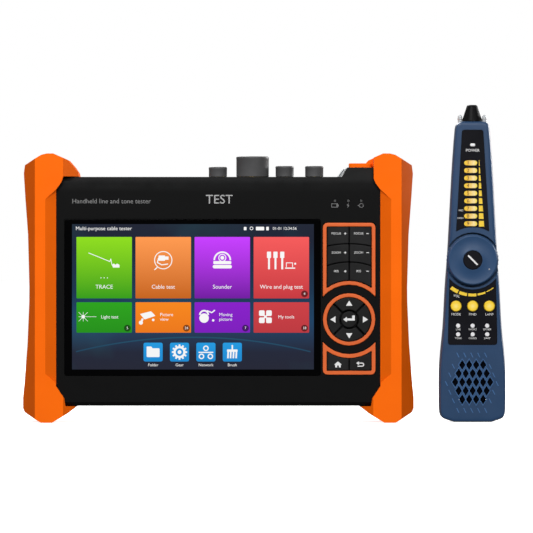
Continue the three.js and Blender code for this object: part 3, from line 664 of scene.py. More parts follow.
class KIT_OT_finishes(PieceOperator):
    """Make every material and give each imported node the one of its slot"""

    bl_idname = "kit.finishes"
    bl_label = "Finishes"

    def make(self):
        make_materials()
        for node, holder in frame["nodes"].items():
            holder.data.materials.clear()
            holder.data.materials.append(MATERIALS[SLOT_MATERIALS[SLOT_OF[node]]])


# The studio's square lights: name, place and side in metres, power in watts.
LAMPS = [
    ("key", (-0.3, -1.45, 0.85), 0.5, 14),
    ("fill", (0.4, -1.5, 0.6), 0.4, 7),
    ("top", (0.0, -0.25, 1.5), 0.8, 7),
    ("right_rim", (1.3, 1.1, 0.5), 0.5, 26),
    ("back", (-0.5, 1.5, 1.1), 0.8, 22),
]
# What the camera sees at the tester's front, in millimetres.
VIEW_WIDTH = 362.4
VIEW_X = 1.4
VIEW_Z = 106.2
SENSOR_WIDTH = 36


class KIT_OT_stage(PieceOperator):
    """Set up the pale floor, the soft studio light and the camera"""

    bl_idname = "kit.stage"
    bl_label = "Stage"

    def make(self):
        self.floor()
        self.air()
        for lamp in LAMPS:
            self.lamp(*lamp)
        self.camera()
        bpy.context.scene.view_settings.view_transform = "Standard"

    def floor(self):
        bm = bmesh.new()
        bmesh.ops.create_grid(bm, x_segments=1, y_segments=1, size=30)
        mesh = bpy.data.meshes.new("floor")
        bm.to_mesh(mesh)
        bm.free()
        made = Nodes("pale_floor")
        shade = made.ramp(made.noise(3, 2), [(0.3, (0.86, 0.86, 0.86)), (0.7, (0.9, 0.9, 0.9))])
        made.paint(shade)
        made.set(Roughness=0.9, Specular_IOR_Level=0.0)
        made.set(Emission_Color=(1, 1, 1, 1), Emission_Strength=0.8)
        mesh.materials.append(made.material)
        floor = bpy.data.objects.new("floor", mesh)
        floor.visible_diffuse = False
        floor.visible_glossy = False
        bpy.context.scene.collection.objects.link(floor)

    def air(self):
        """White for the camera, and dimmer for everything else."""
        world = bpy.data.worlds.new("studio_air")
        bpy.context.scene.world = world
        world.use_nodes = True
        nodes, links = world.node_tree.nodes, world.node_tree.links
        path = nodes.new("ShaderNodeLightPath")
        strength = nodes.new("ShaderNodeMapRange")
        strength.inputs["To Min"].default_value = 0.25
        strength.inputs["To Max"].default_value = 1.0
        links.new(path.outputs["Is Camera Ray"], strength.inputs["Value"])
        links.new(strength.outputs[0], nodes["Background"].inputs["Strength"])
        nodes["Background"].inputs["Color"].default_value = (1, 1, 1, 1)

    def lamp(self, name, place, size, power):
        light = bpy.data.lights.new(name, "AREA")
        light.shape = "SQUARE"
        light.size = size
        light.energy = power
        holder = bpy.data.objects.new(name, light)
        holder.location = place
        aim = Vector((0, 0, 0.1)) - holder.location
        holder.rotation_euler = aim.to_track_quat("-Z", "Y").to_euler()
        bpy.context.scene.collection.objects.link(holder)

    def camera(self):
        data = bpy.data.cameras.new("camera")
        data.sensor_width = SENSOR_WIDTH
        distance = sizes().camera_distance
        data.lens = SENSOR_WIDTH * distance / (VIEW_WIDTH * MM)
        data.clip_start = 0.01
        holder = bpy.data.objects.new("camera", data)
        holder.location = (VIEW_X * MM, HOUSING_FRONT * MM - distance, VIEW_Z * MM)
        holder.rotation_euler = (math.radians(90), 0, 0)
        bpy.context.scene.collection.objects.link(holder)
        bpy.context.scene.camera = holder


# The rating plate's middle, and the back screws' places from the tester's middle.
PLATE_X = TESTER_X + 70
PLATE_Z = 72
SCREW_PLACES = [(x, z) for x in (-96, 0, 96) for z in (26, 152)]


class KIT_OT_housing(PieceOperator):
    """Make the tester's two shells and its battery cover"""

    bl_idname = "kit.housing"
    bl_label = "Tester housing"

    def make(self):
        black = MATERIALS["housing"]
        refined("tester_front_housing", black, SHELL_EDGE, where=self.off_the_top)
        refined("tester_rear_housing", black, SHELL_EDGE)
        refined("tester_battery_cover", black, SHELL_EDGE)
        refined("battery_cover_screw", MATERIALS["steel"], SHELL_EDGE)
        self.screws()
        self.cover_ridges()
        self.name_plate()

    @staticmethod
    def off_the_top(spot):
        """False for a place on the edge of an opening in the housing's top."""
        return abs(spot.z - HOUSING_TOP) > 0.6 or spot.y < HOUSING_FRONT + 5

    def screws(self):
        """Six sunk screw heads with crosses, which hold the shells together."""
        head = [(0, 0.25), (1.9, 0.25), (2.3, -0.05), (2.3, -0.2), (0, -0.2)]
        seat = [(2.35, 0.5), (3.4, 0.5), (3.4, -0.15), (3.1, -0.35), (2.6, -0.35), (2.35, -0.1),
                (2.35, 0.5)]
        steel, black = MATERIALS["steel"], MATERIALS["housing"]
        for i, (x, z) in enumerate(SCREW_PLACES, 1):
            place = (TESTER_X + x, HOUSING_BACK + 0.25, z)
            screw = turned(head, place, "Y", 24)
            add_piece(f"back_screw_{i}", screw, "tester", steel)
            rim = turned(seat, place, "Y", 32)
            add_piece(f"screw_seat_{i}", rim, "tester", black)
            # Painted shade: the crosses are flat dark print on the heads, standing for the shade in
            # their cross recesses.
            cross = Drawing(matrix=facing_back(place[0], z, HOUSING_BACK + 0.47))
            cross.box(-1.4, -0.25, 1.4, 0.25, 0.1).box(-0.25, -1.4, 0.25, 1.4, 0.1)
            cross.finish(f"screw_cross_{i}", "tester", "steel", MATERIALS["tip"])

    def cover_ridges(self):
        """Rows of thumb ridges near the screwed edge of the battery cover."""
        cover = middle("tester_battery_cover")
        edge = high_corner("tester_battery_cover").x
        d = Drawing(matrix=facing_back(edge - 22, cover.z, HOUSING_BACK + 0.5))
        for i in range(7):
            x = -5.4 + 1.8 * i
            d.box(x - 0.45, -16, x + 0.45, 16, 0.4)
        d.finish("cover_ridges", "tester", "housing_black", MATERIALS["key"], 0.6 * MM, 0.2 * MM)

    def name_plate(self):
        """A ruled rating plate without words, under the speaker slots."""
        d = Drawing(matrix=facing_back(PLATE_X, PLATE_Z, HOUSING_BACK + 0.12))
        d.box(-18, -24, 18, 24, 2)
        d.finish("rating_plate", "tester", "label_film", MATERIALS["plate"], 0.15 * MM, 0.05 * MM)
        d = Drawing(matrix=facing_back(PLATE_X, PLATE_Z, HOUSING_BACK + 0.14))
        for z in (15, 9, 3, -3):
            d.box(-14, z - 0.15, 14, z + 0.15)
        d.box(-14, -19, 14, -9, 1).box(-13.4, -18.4, 13.4, -9.6, 0.6)
        d.finish("plate_rules", "tester", "label_film", MATERIALS["dim_ink"])


class KIT_OT_bumpers(PieceOperator):
    """Make the two faceted rubber bumpers, with painted shade on their hollows and slanted flanks
    """

    bl_idname = "kit.bumpers"
    bl_label = "Bumpers"

    def make(self):
        for node in ("left_bumper", "right_bumper"):
            made = refined(node, MATERIALS["bumper"], 0.45 * MM, 2, 12, smooth=20)
            made.data.materials.append(MATERIALS["shaded_bumper"])
            # Painted shade: the large faces of the hollow and of the slanted flanks take the darker
            # orange, where less light falls on them.
            for face in made.data.polygons:
                across = abs(face.normal.x)
                hollow = 0.35 < across < 0.5 and abs(face.normal.z) < 0.05
                slanted = 0.7 < across < 0.9
                if face.area > 40 * MM * MM and (hollow or slanted):
                    face.material_index = 1


# The eight tiles: name, colour at the top, colour at the bottom, number in the badge.
BIG_TILES = [
    ("trace", (0.27, 0.72, 0.007), (0.03, 0.33, 0.004), None),
    ("cable", (1.0, 0.32, 0.075), (0.56, 0.12, 0.006), None),
    ("sound", (0.57, 0.045, 1.0), (0.16, 0.005, 0.35), None),
    ("links", (0.92, 0.1, 0.1), (0.56, 0.035, 0.045), "4"),
]
SMALL_TILES = [
    ("plug", (0.02, 0.36, 0.006), (0.012, 0.27, 0.004), "5"),
    ("map", (0.93, 0.24, 0.006), (0.83, 0.18, 0.004), "24"),
    ("view", (0.24, 0.008, 0.58), (0.2, 0.006, 0.5), "7"),
    ("tools", (0.6, 0.045, 0.055), (0.5, 0.035, 0.045), "18"),
]
DOCK = ["folder", "gear", "network", "brush"]
TILE_WORDS = {
    "trace": "TRACE",
    "cable": "Cable test",
    "sound": "Sounder",
    "links": "Wire and plug test",
    "plug": "Light test",
    "map": "Picture\nview",
    "view": "Moving\npicture",
    "tools": "My tools",
}
TILE_LEFT = TESTER_X - 96.4
TILE_WIDTH = 37.7
TILE_PITCH = 40.15
# The lowest and highest edge of each row of tiles.
BIG_ROW = (84.5, 126.3)
SMALL_ROW = (61.2, 81.9)
DOCK_LEFT = TESTER_X - 44.3
DOCK_PITCH = 17.95
DOCK_Z = 48
STATUS_Z = 132.0
SCREEN_Y = HOUSING_FRONT + 0.04


class KIT_OT_screen(PieceOperator):
    """Make the screen: dark glass with a lit picture of tiles and icons under it"""

    bl_idname = "kit.screen"
    bl_label = "Screen"

    def show(self, drawing, name, material):
        drawing.finish("screen_" + name, "tester", "display", material)

    def word(self, name, text, x, z, lift, height, align="CENTER"):
        """White words at some height in front of the backdrop."""
        lettering("screen_" + name, text, x, z, SCREEN_Y - lift, height, "tester",
                  self.white, align=align)

    def make(self):
        refined("touch_glass", MATERIALS["glass"], 0.25 * MM)
        self.white = lit("screen_white", (0.9, 0.9, 0.9), (0.95, 0.95, 0.95), 30, 140)
        self.backdrop()
        for tiles, row in ((BIG_TILES, BIG_ROW), (SMALL_TILES, SMALL_ROW)):
            for i, tile in enumerate(tiles):
                self.tile(i, tile, *row)
        self.dock()
        self.status_bar()

    def backdrop(self):
        """A dark blue sky with a faint teal cloud and an arc across it."""
        made = Nodes("screen_backdrop")
        sky = made.ramp(
            made.height(36, 135),
            [
                (0.0, (0.013, 0.015, 0.03)),
                (0.12, (0.012, 0.016, 0.035)),
                (0.24, (0.012, 0.036, 0.085)),
                (0.33, (0.009, 0.05, 0.12)),
                (0.55, (0.006, 0.03, 0.07)),
                (0.9, (0.008, 0.013, 0.03)),
                (1.0, (0.01, 0.014, 0.03)),
            ],
        )
        glow = made.noise(14, 3)
        mix = made.add("ShaderNodeMix", data_type="RGBA", blend_type="ADD")
        made.link(made.spread(glow, 0, 1, 0.5, 0.75), mix.inputs["Factor"])
        made.link(sky, mix.inputs["A"])
        mix.inputs["B"].default_value = (0.002, 0.03, 0.035, 1)
        made.paint(mix.outputs["Result"], "Emission Color")
        made.set(Base_Color=(0.001, 0.001, 0.002, 1), Emission_Strength=1.0)
        made.set(Roughness=0.12, Specular_IOR_Level=0.35)
        sheet = Drawing(TESTER_X, 0, SCREEN_Y)
        sheet.box(-99.4, 36.2, 65.0, 135.0)
        self.show(sheet, "backdrop", made.material)
        swoosh = Drawing(TESTER_X - 17, -271.5, SCREEN_Y - 0.012)
        swoosh.ring(0, 0, 330, 0.9, 76, 28, 48)
        teal = lit("screen_teal", (0.01, 0.05, 0.1), (0.01, 0.075, 0.14), 48, 60)
        self.show(swoosh, "swoosh", teal)

    def tile(self, column, tile, low, high):
        name, top, bottom, count = tile
        left = TILE_LEFT + column * TILE_PITCH
        centre = left + TILE_WIDTH / 2
        big = high - low > 30
        sheet = Drawing(0, 0, SCREEN_Y - 0.03)
        sheet.box(left, low, left + TILE_WIDTH, high, 0.5)
        self.show(sheet, name + "_tile", lit(name + "_glow", bottom, top, low, high))
        level = (low + high) / 2
        if big:
            icon = Drawing(centre, low + 26, SCREEN_Y - 0.06)
        else:
            icon = Drawing(left + 8, level + 0.5, SCREEN_Y - 0.06, 0.62)
        getattr(self, "draw_" + name)(icon)
        self.show(icon, name + "_icon", self.white)
        if big:
            self.word(name + "_word", TILE_WORDS[name], centre, low + 7.8, 0.07, 2.7)
        else:
            self.word(name + "_word", TILE_WORDS[name], left + 16.6, level + 0.3, 0.07, 2.2, "LEFT")
        if count:
            self.badge(name, left + TILE_WIDTH - 3.1, low + 3.1, bottom, count)

    def badge(self, name, x, z, shade, count):
        disc = Drawing(x, z, SCREEN_Y - 0.06)
        disc.disc(0, 0, 2.3)
        dark = tinted(shade, 0.25)
        self.show(disc, name + "_badge", lit(name + "_badge_glow", dark, dark, z - 3, z + 3))
        self.word(name + "_count", count, x, z, 0.1, 1.7)

    def draw_trace(self, d):
        """A falling trace that ends in a step."""
        d.line([(-10.5, 4.9), (3.8, -0.9), (4.5, 0.8), (5.3, -3.2)], 0.5)
        d.polygon([(5.3, -3.4), (6.4, -2.2), (7.6, -3.1), (8.8, -2.3), (10.4, -3.2), (10.4, -5),
                   (6, -5)])
        for x in (-2.2, 0, 2.2):
            d.disc(x, -12, 0.35, 12)

    def draw_cable(self, d):
        """A plug in a ring with a tail."""
        d.ring(0, 0, 6.2, 0.6)
        d.bar(-4, -4.8, -6, -6.6, 0.7)
        d.box(-3.2, -0.4, 1.2, 3.2, 0.4)
        d.box(1.2, 0.3, 3.6, 2.5)
        d.line([(-3.2, 1.4), (-4, -1.6), (-1, -3.2), (3, -2.6)], 0.7)

    def draw_sound(self, d):
        """A dome-shaped sounder on a foot."""
        d.ring(0, 0, 6, 1.1, 0, 180, 24).ring(0, 1.6, 2.7, 0.6).disc(0, 1.6, 1.3)
        d.box(-6.5, -5.6, 6.5, -3.2, 1.1).box(-6.1, -2.7, 6.1, -0.6, 0.6)

    def draw_links(self, d):
        """Three plugs on leads and a small socket."""
        for x in (-8.4, -4, 0.6):
            d.box(x - 1.4, 1.5, x + 1.4, 5.8, 0.3)
            d.bar(x, 1.5, x, -6.2, 1.3)
        d.line([(3.4, -4.6), (3.4, -1.8), (7.6, -1.8), (7.6, -4.6)], 0.5)
        d.bar(2.6, -5.4, 9.4, -5.4, 0.8)
        d.disc(9.4, -2.4, 0.7, 12)

    def draw_plug(self, d):
        """A spark with a beam of light."""
        for i in range(8):
            angle, reach = TURN * i / 8, 7 if i % 2 else 5
            x, y = math.cos(angle), math.sin(angle)
            d.bar(x - 5.5, y, reach * x - 5.5, reach * y, 0.45)
        d.disc(-5.5, 0, 1.9).bar(-3.5, 0, 9, 0, 0.45)

    def draw_map(self, d):
        """A small camera on a bracket."""
        d.polygon([(-8, 3), (4, 6), (9, 1), (-3, -3)], 0.8)
        d.bar(-5, -2, -7, -7, 2.2)
        d.disc(-7, -6.5, 2.2)
        d.disc(6.5, -3.5, 1.4)

    def draw_view(self, d):
        """A round camera under a hood, with a swinging arm."""
        d.disc(-2.5, -1.5, 5.2)
        d.ring(-2.5, 2, 5.5, 1.8, 0, 180, 16)
        d.line([(1, 6.5), (6, 4.5), (9, 7)], 1.3)
        d.disc(7.5, -4, 1.3)

    def draw_tools(self, d):
        """Four rounded squares joined by a cross."""
        for x in (-3.9, 3.9):
            for y in (-3.9, 3.9):
                d.box(x - 3.1, y - 3.1, x + 3.1, y + 3.1, 1.4)
        d.bar(-5, -5, 5, 5, 1.6)
        d.bar(-5, 5, 5, -5, 1.6)

    def dock(self):
        """Four blue keys with icons and names along the bottom."""
        blue = lit("dock_blue_glow", (0.006, 0.24, 0.62), (0.012, 0.32, 0.74), 41, 55)
        for i, name in enumerate(DOCK):
            x = DOCK_LEFT + DOCK_PITCH * i
            sheet = Drawing(x, DOCK_Z, SCREEN_Y - 0.04)
            sheet.box(-6.5, -6.4, 6.5, 6.4, 1.2)
            self.show(sheet, name + "_key", blue)
            icon = Drawing(x, DOCK_Z, SCREEN_Y - 0.07)
            getattr(self, "draw_" + name)(icon)
            self.show(icon, name + "_icon", self.white)
            self.word(name + "_word", name.capitalize(), x, DOCK_Z - 8.8, 0.04, 1.9)

    def draw_folder(self, d):
        d.box(-4.4, -3.4, 4.4, 2.6, 0.6)
        d.polygon([(-4.4, 2), (-4.4, 3.8), (-1.2, 3.8), (0, 2)], 0.3)

    def draw_gear(self, d):
        d.ring(0, 0, 4.1, 1.5)
        for i in range(12):
            angle = TURN * i / 12
            x, y = math.cos(angle), math.sin(angle)
            d.bar(x * 3.6, y * 3.6, x * 5.2, y * 5.2, 1.2)
        d.disc(0, 0, 1.3)

    def draw_network(self, d):
        d.ring(0, 2.6, 1.9, 0.8)
        d.bar(-5, -0.2, 5, -0.2, 0.8)
        d.ring(-3, -2.9, 1.9, 0.8)
        d.ring(3, -2.9, 1.9, 0.8)

    def draw_brush(self, d):
        d.bar(0, 4.8, 0, 1.2, 1.0)
        d.box(-3.6, 0.2, 3.6, 1.8, 0.4)
        for x in (-2.8, -1, 0.9, 2.8):
            d.bar(x, 0.2, x - 0.2, -4.2, 1.1)

    def status_bar(self):
        title = "Multi-purpose cable tester"
        self.word("title", title, TESTER_X - 97, STATUS_Z, 0.04, 2.5, "LEFT")
        self.word("clock", "01-01 12:34:56", TESTER_X + 37, STATUS_Z, 0.04, 1.9, "LEFT")
        signs = Drawing(TESTER_X, STATUS_Z, SCREEN_Y - 0.04)
        signs.box(17.4, -1.1, 19.2, 1.1, 0.2)
        signs.ring(22.6, 0.1, 1.2, 0.4)
        signs.box(25.6, -1.2, 31.2, 1.2, 0.3)
        signs.box(32.6, -1.2, 34.4, 1.2, 0.3)
        self.show(signs, "signs", self.white)


# The plane of the signs on the keys, and the heights of their rows.
SIGN_Y = low_corner("enter_key").y - PRINT_GAP
ROW_HEIGHTS = {"focus": 128.6, "zoom": 115.6, "iris": 103.0}
LOWER_ROW = 39.5


class KIT_OT_keypad(PieceOperator):
    """Make the orange trims, the rubber keys and their white signs"""

    bl_idname = "kit.keypad"
    bl_label = "Keypad"

    def sign(self, drawing, node):
        drawing.finish(node + "_sign", BODY_OF[node], "key_black", MATERIALS["white_ink"])

    def make(self):
        for name in ("upper", "ring", "lower"):
            refined(name + "_key_trim", MATERIALS["trim"], 0.5 * MM, 3)
        keys = [node for node, slot in SLOT_OF.items() if slot == "key_black" and "key" in node]
        for node in keys:
            if node != "keypad_sheet":
                refined(node, MATERIALS["key"], 0.6 * MM, 3)
        self.row_signs()
        self.arrows()
        self.lower_signs()

    def row_signs(self):
        for name, z in ROW_HEIGHTS.items():
            for way in ("up", "down"):
                node = f"{name}_{way}_key"
                spot = middle(node)
                lettering(node + "_word", name.upper(), spot.x - 1.2, z, SIGN_Y, 1.45,
                          BODY_OF[node], MATERIALS["white_ink"])
                d = Drawing(spot.x + 4.9, z, SIGN_Y)
                d.bar(-0.8, 0, 0.8, 0, 0.45)
                if way == "up":
                    d.bar(0, -0.8, 0, 0.8, 0.45)
                self.sign(d, node)

    def arrows(self):
        for turn, name in enumerate(("up", "left", "down", "right")):
            node = f"arrow_{name}_key"
            d = Drawing(KEYPAD.x, KEYPAD.z, SIGN_Y, turn=90 * turn)
            d.polygon([(-2.2, 9.3), (2.2, 9.3), (0, 12.9)], 0.15)
            self.sign(d, node)
        d = Drawing(KEYPAD.x, KEYPAD.z, SIGN_Y)
        d.polygon([(-4.0, 0), (-1.6, 1.9), (-1.6, 0.75), (2.0, 0.75), (2.0, 2.7), (3.8, 2.7),
                   (3.8, -0.75), (-1.6, -0.75), (-1.6, -1.9)])
        self.sign(d, "enter_key")

    def lower_signs(self):
        """A house and a returning arrow."""
        d = Drawing(middle("home_key").x, LOWER_ROW, SIGN_Y)
        d.polygon([(-2.7, 0), (0, 2.2), (2.7, 0), (1.9, 0), (1.9, -1.9), (0.6, -1.9), (0.6, -0.6),
                   (-0.6, -0.6), (-0.6, -1.9), (-1.9, -1.9), (-1.9, 0)])
        self.sign(d, "home_key")
        d = Drawing(middle("return_key").x, LOWER_ROW, SIGN_Y)
        d.box(-1.2, 0.7, 1.2, 1.4)
        d.ring(1.2, 0, 1.4, 0.7, -90, 180, 10)
        d.box(-2.0, -1.4, 1.2, -0.7)
        d.polygon([(-2.9, 1.05), (-1.0, 2.3), (-1.0, -0.2)])
        self.sign(d, "return_key")


CAPS = ["small_port_left_cap", "wide_port_cap", "small_port_middle_cap", "small_port_right_cap"]


class KIT_OT_ports(PieceOperator):
    """Make the rubber caps, the metal connectors under them and the network sockets"""

    bl_idname = "kit.ports"
    bl_label = "Ports"

    def make(self):
        for node in CAPS:
            self.cap(node)
            refined(node.removesuffix("_cap"), MATERIALS["brass"], 0.2 * MM, smooth=50)
        refined("cable_jack_block", MATERIALS["housing"], 0.2 * MM)
        self.contacts()

    def cap(self, node):
        """A hollow rubber cap with a lip and a slightly sunk top."""
        low, high = low_corner(node), high_corner(node)
        centre = middle(node)
        radius = (high.x - low.x) / 2
        wall = 1.5
        bottom, top = low.z - centre.z, high.z - centre.z
        profile = [
            (radius - wall, bottom),
            (radius - 0.3, bottom),
            (radius - 0.1, bottom + 0.2),
            (radius - 0.1, top - 1.7),
            (radius, top - 1.5),
            (radius, top - 0.7),
            (radius - 0.25, top - 0.2),
            (radius - 0.8, top),
            (radius - 1.6, top - 0.1),
            (radius - 2.0, top - 0.45),
            (0, top - 0.45),
            (0, top - wall),
            (radius - wall, top - wall),
            (radius - wall, bottom),
        ]
        bm = turned(profile, centre, steps=64)
        add_piece(node + "_surface", bm, BODY_OF[node], MATERIALS["cap"], [node], 30)

    def contacts(self):
        """Eight gold wires slope across each socket."""
        low, high = low_corner("cable_jack_block"), high_corner("cable_jack_block")
        pitch, radius = 1.07, 0.2 * MM
        slope = Matrix.Rotation(math.radians(18), 4, "X")
        for side, start in enumerate((low.x + 4.0, high.x - 13.0), 1):
            bm = bmesh.new()
            for i in range(8):
                rod = bmesh.ops.create_cone(
                    bm, cap_ends=True, segments=6, radius1=radius, radius2=radius, depth=10 * MM
                )
                place = moved_to((start + 0.75 + pitch * i, -9.5, high.z - 8))
                bmesh.ops.transform(bm, matrix=place @ slope, verts=rod["verts"])
            add_piece(f"socket_contacts_{side}", bm, "tester", MATERIALS["gold"])


class KIT_OT_power(PieceOperator):
    """Make the power button and the pale strip beside it"""

    bl_idname = "kit.power"
    bl_label = "Power button"

    def make(self):
        refined("power_button", MATERIALS["bumper"], 0.6 * MM, 4)
        low, high = low_corner("power_button"), high_corner("power_button")
        centre = (low + high) / 2
        lying = moved_to((centre.x, centre.y, high.z + 0.03)) @ Matrix.Scale(MM, 4)
        d = Drawing(matrix=lying)
        d.ring(0, 0, 2.9, 0.55, 120, 300, 28).box(-0.3, 0.6, 0.3, 3.3, 0.2)
        d.finish("power_sign", "power", "bumper_orange", MATERIALS["white_ink"])
        self.strip()

    def strip(self):
        """A clear strip that lies along the block's slope."""
        bm = bmesh.new()
        side = [(0, 0.05), (2.7, 0.05), (6.4, 5.9), (5.4, 6.2), (3.9, 5.6)]
        left = TESTER_X + 81.0
        long = 18
        face = bm.faces.new([bm.verts.new((left + x, -long, HOUSING_TOP + z)) for x, z in side])
        thicken(bm, [face], (0, long, 0))
        bevel_edges(bm, bm.edges[:], 0.4)
        bm.transform(Matrix.Scale(MM, 4))
        add_piece("shoulder_strip", bm, "tester", MATERIALS["clear"])
        d = Drawing(left, HOUSING_TOP, -long - 0.05)
        d.polygon([(1.2, 0.5), (1.7, 0.5), (5.0, 5.5), (4.5, 5.5)])
        d.finish("strip_seam", "tester", "clear_lens", MATERIALS["tip"])


class KIT_OT_housing_prints(PieceOperator):
    """Print the words and signs on the tester's front"""

    bl_idname = "kit.housing_prints"
    bl_label = "Tester prints"

    def make(self):
        y = HOUSING_FRONT - PRINT_GAP
        subtitle = "Handheld line and tone tester"
        lettering("title_word", "TEST", TESTER_X + 0.7, 151.6, y, 6.0, "tester",
                  MATERIALS["grey_ink"])
        lettering("subtitle_word", subtitle, TESTER_X - 99.5, 150.5, y, 3.1, "tester",
                  MATERIALS["soft_ink"], align="LEFT")
        guide = middle("indicator_light_guide")
        d = Drawing(guide.x, 147.7, y)
        d.box(-11.2, 0.9, -7.4, 1.4, 0.1).box(-11.2, -1.4, -7.4, -0.9, 0.1)
        d.box(-11.4, -1.4, -10.9, 1.4, 0.1).box(-7.9, -1.4, -6.9, 1.4, 0.2)
        d.box(-6.9, -0.6, -6.4, 0.6)
        d.polygon([(-0.9, 0.2), (0.6, 1.7), (0.2, 0.3), (1.0, -0.1), (-0.5, -1.7), (-0.1, -0.2)])
        d.ring(9, 0, 1.6, 0.45).box(6.6, -0.3, 7.7, 0.3, 0.1)
        d.finish("indicator_signs", "tester", "housing_black", MATERIALS["dim_ink"])
        refined("indicator_light_guide", MATERIALS["faint_ink"], 0.15 * MM)


# Half of the probe's outline, from its foot to its head, as (from the middle, height).
PROBE_FLANK = [(12.5, 0), (16.8, 1.3), (20.3, 2.8), (21.9, 5.4), (22.5, 12), (22.5, 33),
               (21.5, 48), (19.7, 66.6), (18.4, 92.3), (17.1, 110), (16, 128.6), (13.8, 171.4),
               (11.8, 199.5)]
# The grille: its middle, holes in each row, distances of columns and rows, half a hole.
GRILLE_Z = 27.3
GRILLE_ROWS = (4, 5, 6, 5, 4)
GRILLE_X_PITCH = 4.75
GRILLE_Z_PITCH = 5.9
HOLE_HALF_WIDTH = 2.15
HOLE_HALF_HEIGHT = 3.3


class KIT_OT_probe_shells(PieceOperator):
    """Make the probe's shells and battery door"""

    bl_idname = "kit.probe_shells"
    bl_label = "Probe shells"

    def make(self):
        for node in ("probe_front_shell", "probe_rear_shell", "probe_battery_door"):
            refined(node, MATERIALS["probe"], SHELL_EDGE, 2, 40, smooth=40)
        self.seam()
        self.grille_rims()
        self.grille_marks()
        self.door_grip()

    def seam(self):
        """A dark band that fills the parting line between the two shells."""
        parting = (high_corner("probe_front_shell").y + low_corner("probe_rear_shell").y) / 2
        d = Drawing(PROBE_X, 0, parting - 0.3)
        for (ax, az), (bx, bz) in zip(PROBE_FLANK, PROBE_FLANK[1:]):
            a_rise, b_rise = [0.7 if z < 10 else 0 for z in (az, bz)]
            band = [(ax - 0.6, az + a_rise), (bx - 0.6, bz + b_rise),
                    (bx - 1.5, bz + 2 * b_rise), (ax - 1.5, az + 2 * a_rise)]
            d.polygon(band)
            d.polygon([(-x, z) for x, z in reversed(band)])
        d.polygon([(-11.9, 0.7), (11.9, 0.7), (11.0, 1.4), (-11.0, 1.4)])
        d.finish("probe_seam", "probe", "housing_black", MATERIALS["tip"], 0.6 * MM)

    def grille_rims(self):
        """A raised rim round each of the grille's diamond holes, in a paler blue: a painted
        highlight where the rims catch the light.
        """
        d = Drawing(PROBE_X, GRILLE_Z, PROBE_FACE - 0.08)
        corners = [(HOLE_HALF_WIDTH, 0), (0, HOLE_HALF_HEIGHT), (-HOLE_HALF_WIDTH, 0),
                   (0, -HOLE_HALF_HEIGHT)]
        sides = list(zip(corners, corners[1:] + corners[:1]))
        inner, outer = 1.12, 1.34
        for row, count in enumerate(GRILLE_ROWS):
            for i in range(count):
                x, z = (i - (count - 1) / 2) * GRILLE_X_PITCH, (2 - row) * GRILLE_Z_PITCH
                for a, b in sides:
                    rim = ((inner, a), (inner, b), (outer, b), (outer, a))
                    d.polygon([(x + k * px, z + k * pz) for k, (px, pz) in rim])
        d.finish("grille_rims", "probe", "blue_plastic", MATERIALS["pale_probe"], 0.12 * MM)

    def grille_marks(self):
        """Slight raised strokes in rows above, below and on both sides of the grille, in a paler
        blue: a painted highlight for the one lit edge of each shallow sunk diamond.
        """
        d = Drawing(PROBE_X, GRILLE_Z - 1.0, PROBE_FACE - 0.06)
        places = [((i - 2) * GRILLE_X_PITCH - 0.6, z) for z in (-18.3, 19.5) for i in range(5)]
        for row in range(-2, 3):
            reach = (3.5 - abs(row) / 2) * GRILLE_X_PITCH
            places += [(-reach - 1.3, row * GRILLE_Z_PITCH), (reach + 0.1, row * GRILLE_Z_PITCH)]
        stroke = [(-1.1, 1.6), (-0.45, 1.6), (1.1, -1.6), (0.45, -1.6)]
        for x, z in places:
            d.polygon([(x + across, z + up) for across, up in stroke])
        d.finish("grille_marks", "probe", "blue_plastic", MATERIALS["pale_probe"], 0.1 * MM)

    def door_grip(self):
        """An arrow and three ridges for the thumb on the battery door."""
        corner = high_corner("probe_battery_door")
        place = facing_back(middle("probe_battery_door").x, corner.z - 7, corner.y + 0.3)
        d = Drawing(matrix=place)
        for i in range(3):
            d.box(-7, -4.6 + 2.2 * i, 7, -3.4 + 2.2 * i, 0.5)
        d.polygon([(-2.2, 2.6), (2.2, 2.6), (0, 4.6)], 0.3)
        d.finish("door_grip", "battery_door", "blue_plastic", MATERIALS["probe"], 0.35 * MM,
                 0.15 * MM)


class KIT_OT_probe_head(PieceOperator):
    """Make the fluted tip and the two lamps beside it"""

    bl_idname = "kit.probe_head"
    bl_label = "Probe head"

    def make(self):
        low, high = low_corner("probe_tip"), high_corner("probe_tip")
        centre = middle("probe_tip")
        base = (high.x - low.x) / 2
        profile = [
            (base - 1.5, low.z), (base, low.z), (base, low.z + 0.9), (3.6, high.z - 0.6),
            (2.8, high.z), (0, high.z), (0, high.z - 1.6), (2.0, high.z - 1.6),
            (base - 1.5, low.z),
        ]
        bm = turned(profile, (centre.x, centre.y, 0), steps=36)
        least_area = 2 * MM * MM
        cone = [f for f in bm.faces if 0.2 < f.normal.z < 0.55 and f.calc_area() > least_area]
        bmesh.ops.inset_individual(bm, faces=cone[::3], thickness=0.15 * MM, depth=-0.3 * MM)
        add_piece("probe_tip_surface", bm, "probe", MATERIALS["tip"],
                  ["probe_tip"], 25)
        for node in ("left_lamp", "right_lamp"):
            self.lamp(node)

    def lamp(self, node):
        """A clear dome with a grey flange round its foot."""
        low, high = low_corner(node), high_corner(node)
        centre = middle(node)
        radius = (high.x - low.x) / 2
        dome = [
            (radius * math.cos(a), high.z - radius + radius * math.sin(a))
            for a in (math.radians(15 * i) for i in range(6))
        ]
        profile = [(0, low.z), (radius, low.z), *dome, (0, high.z)]
        bm = turned(profile, (centre.x, centre.y, 0), steps=32)
        add_piece(node + "_surface", bm, "probe", MATERIALS["clear"], [node], 50)
        ring = [(radius + 0.02, high.z - 3.2), (radius + 0.35, high.z - 3.2),
                (radius + 0.35, high.z - 2.7), (radius + 0.02, high.z - 2.7),
                (radius + 0.02, high.z - 3.2)]
        add_piece(node + "_flange", turned(ring, (centre.x, centre.y, 0), steps=32), "probe",
                  MATERIALS["grey_ink"])


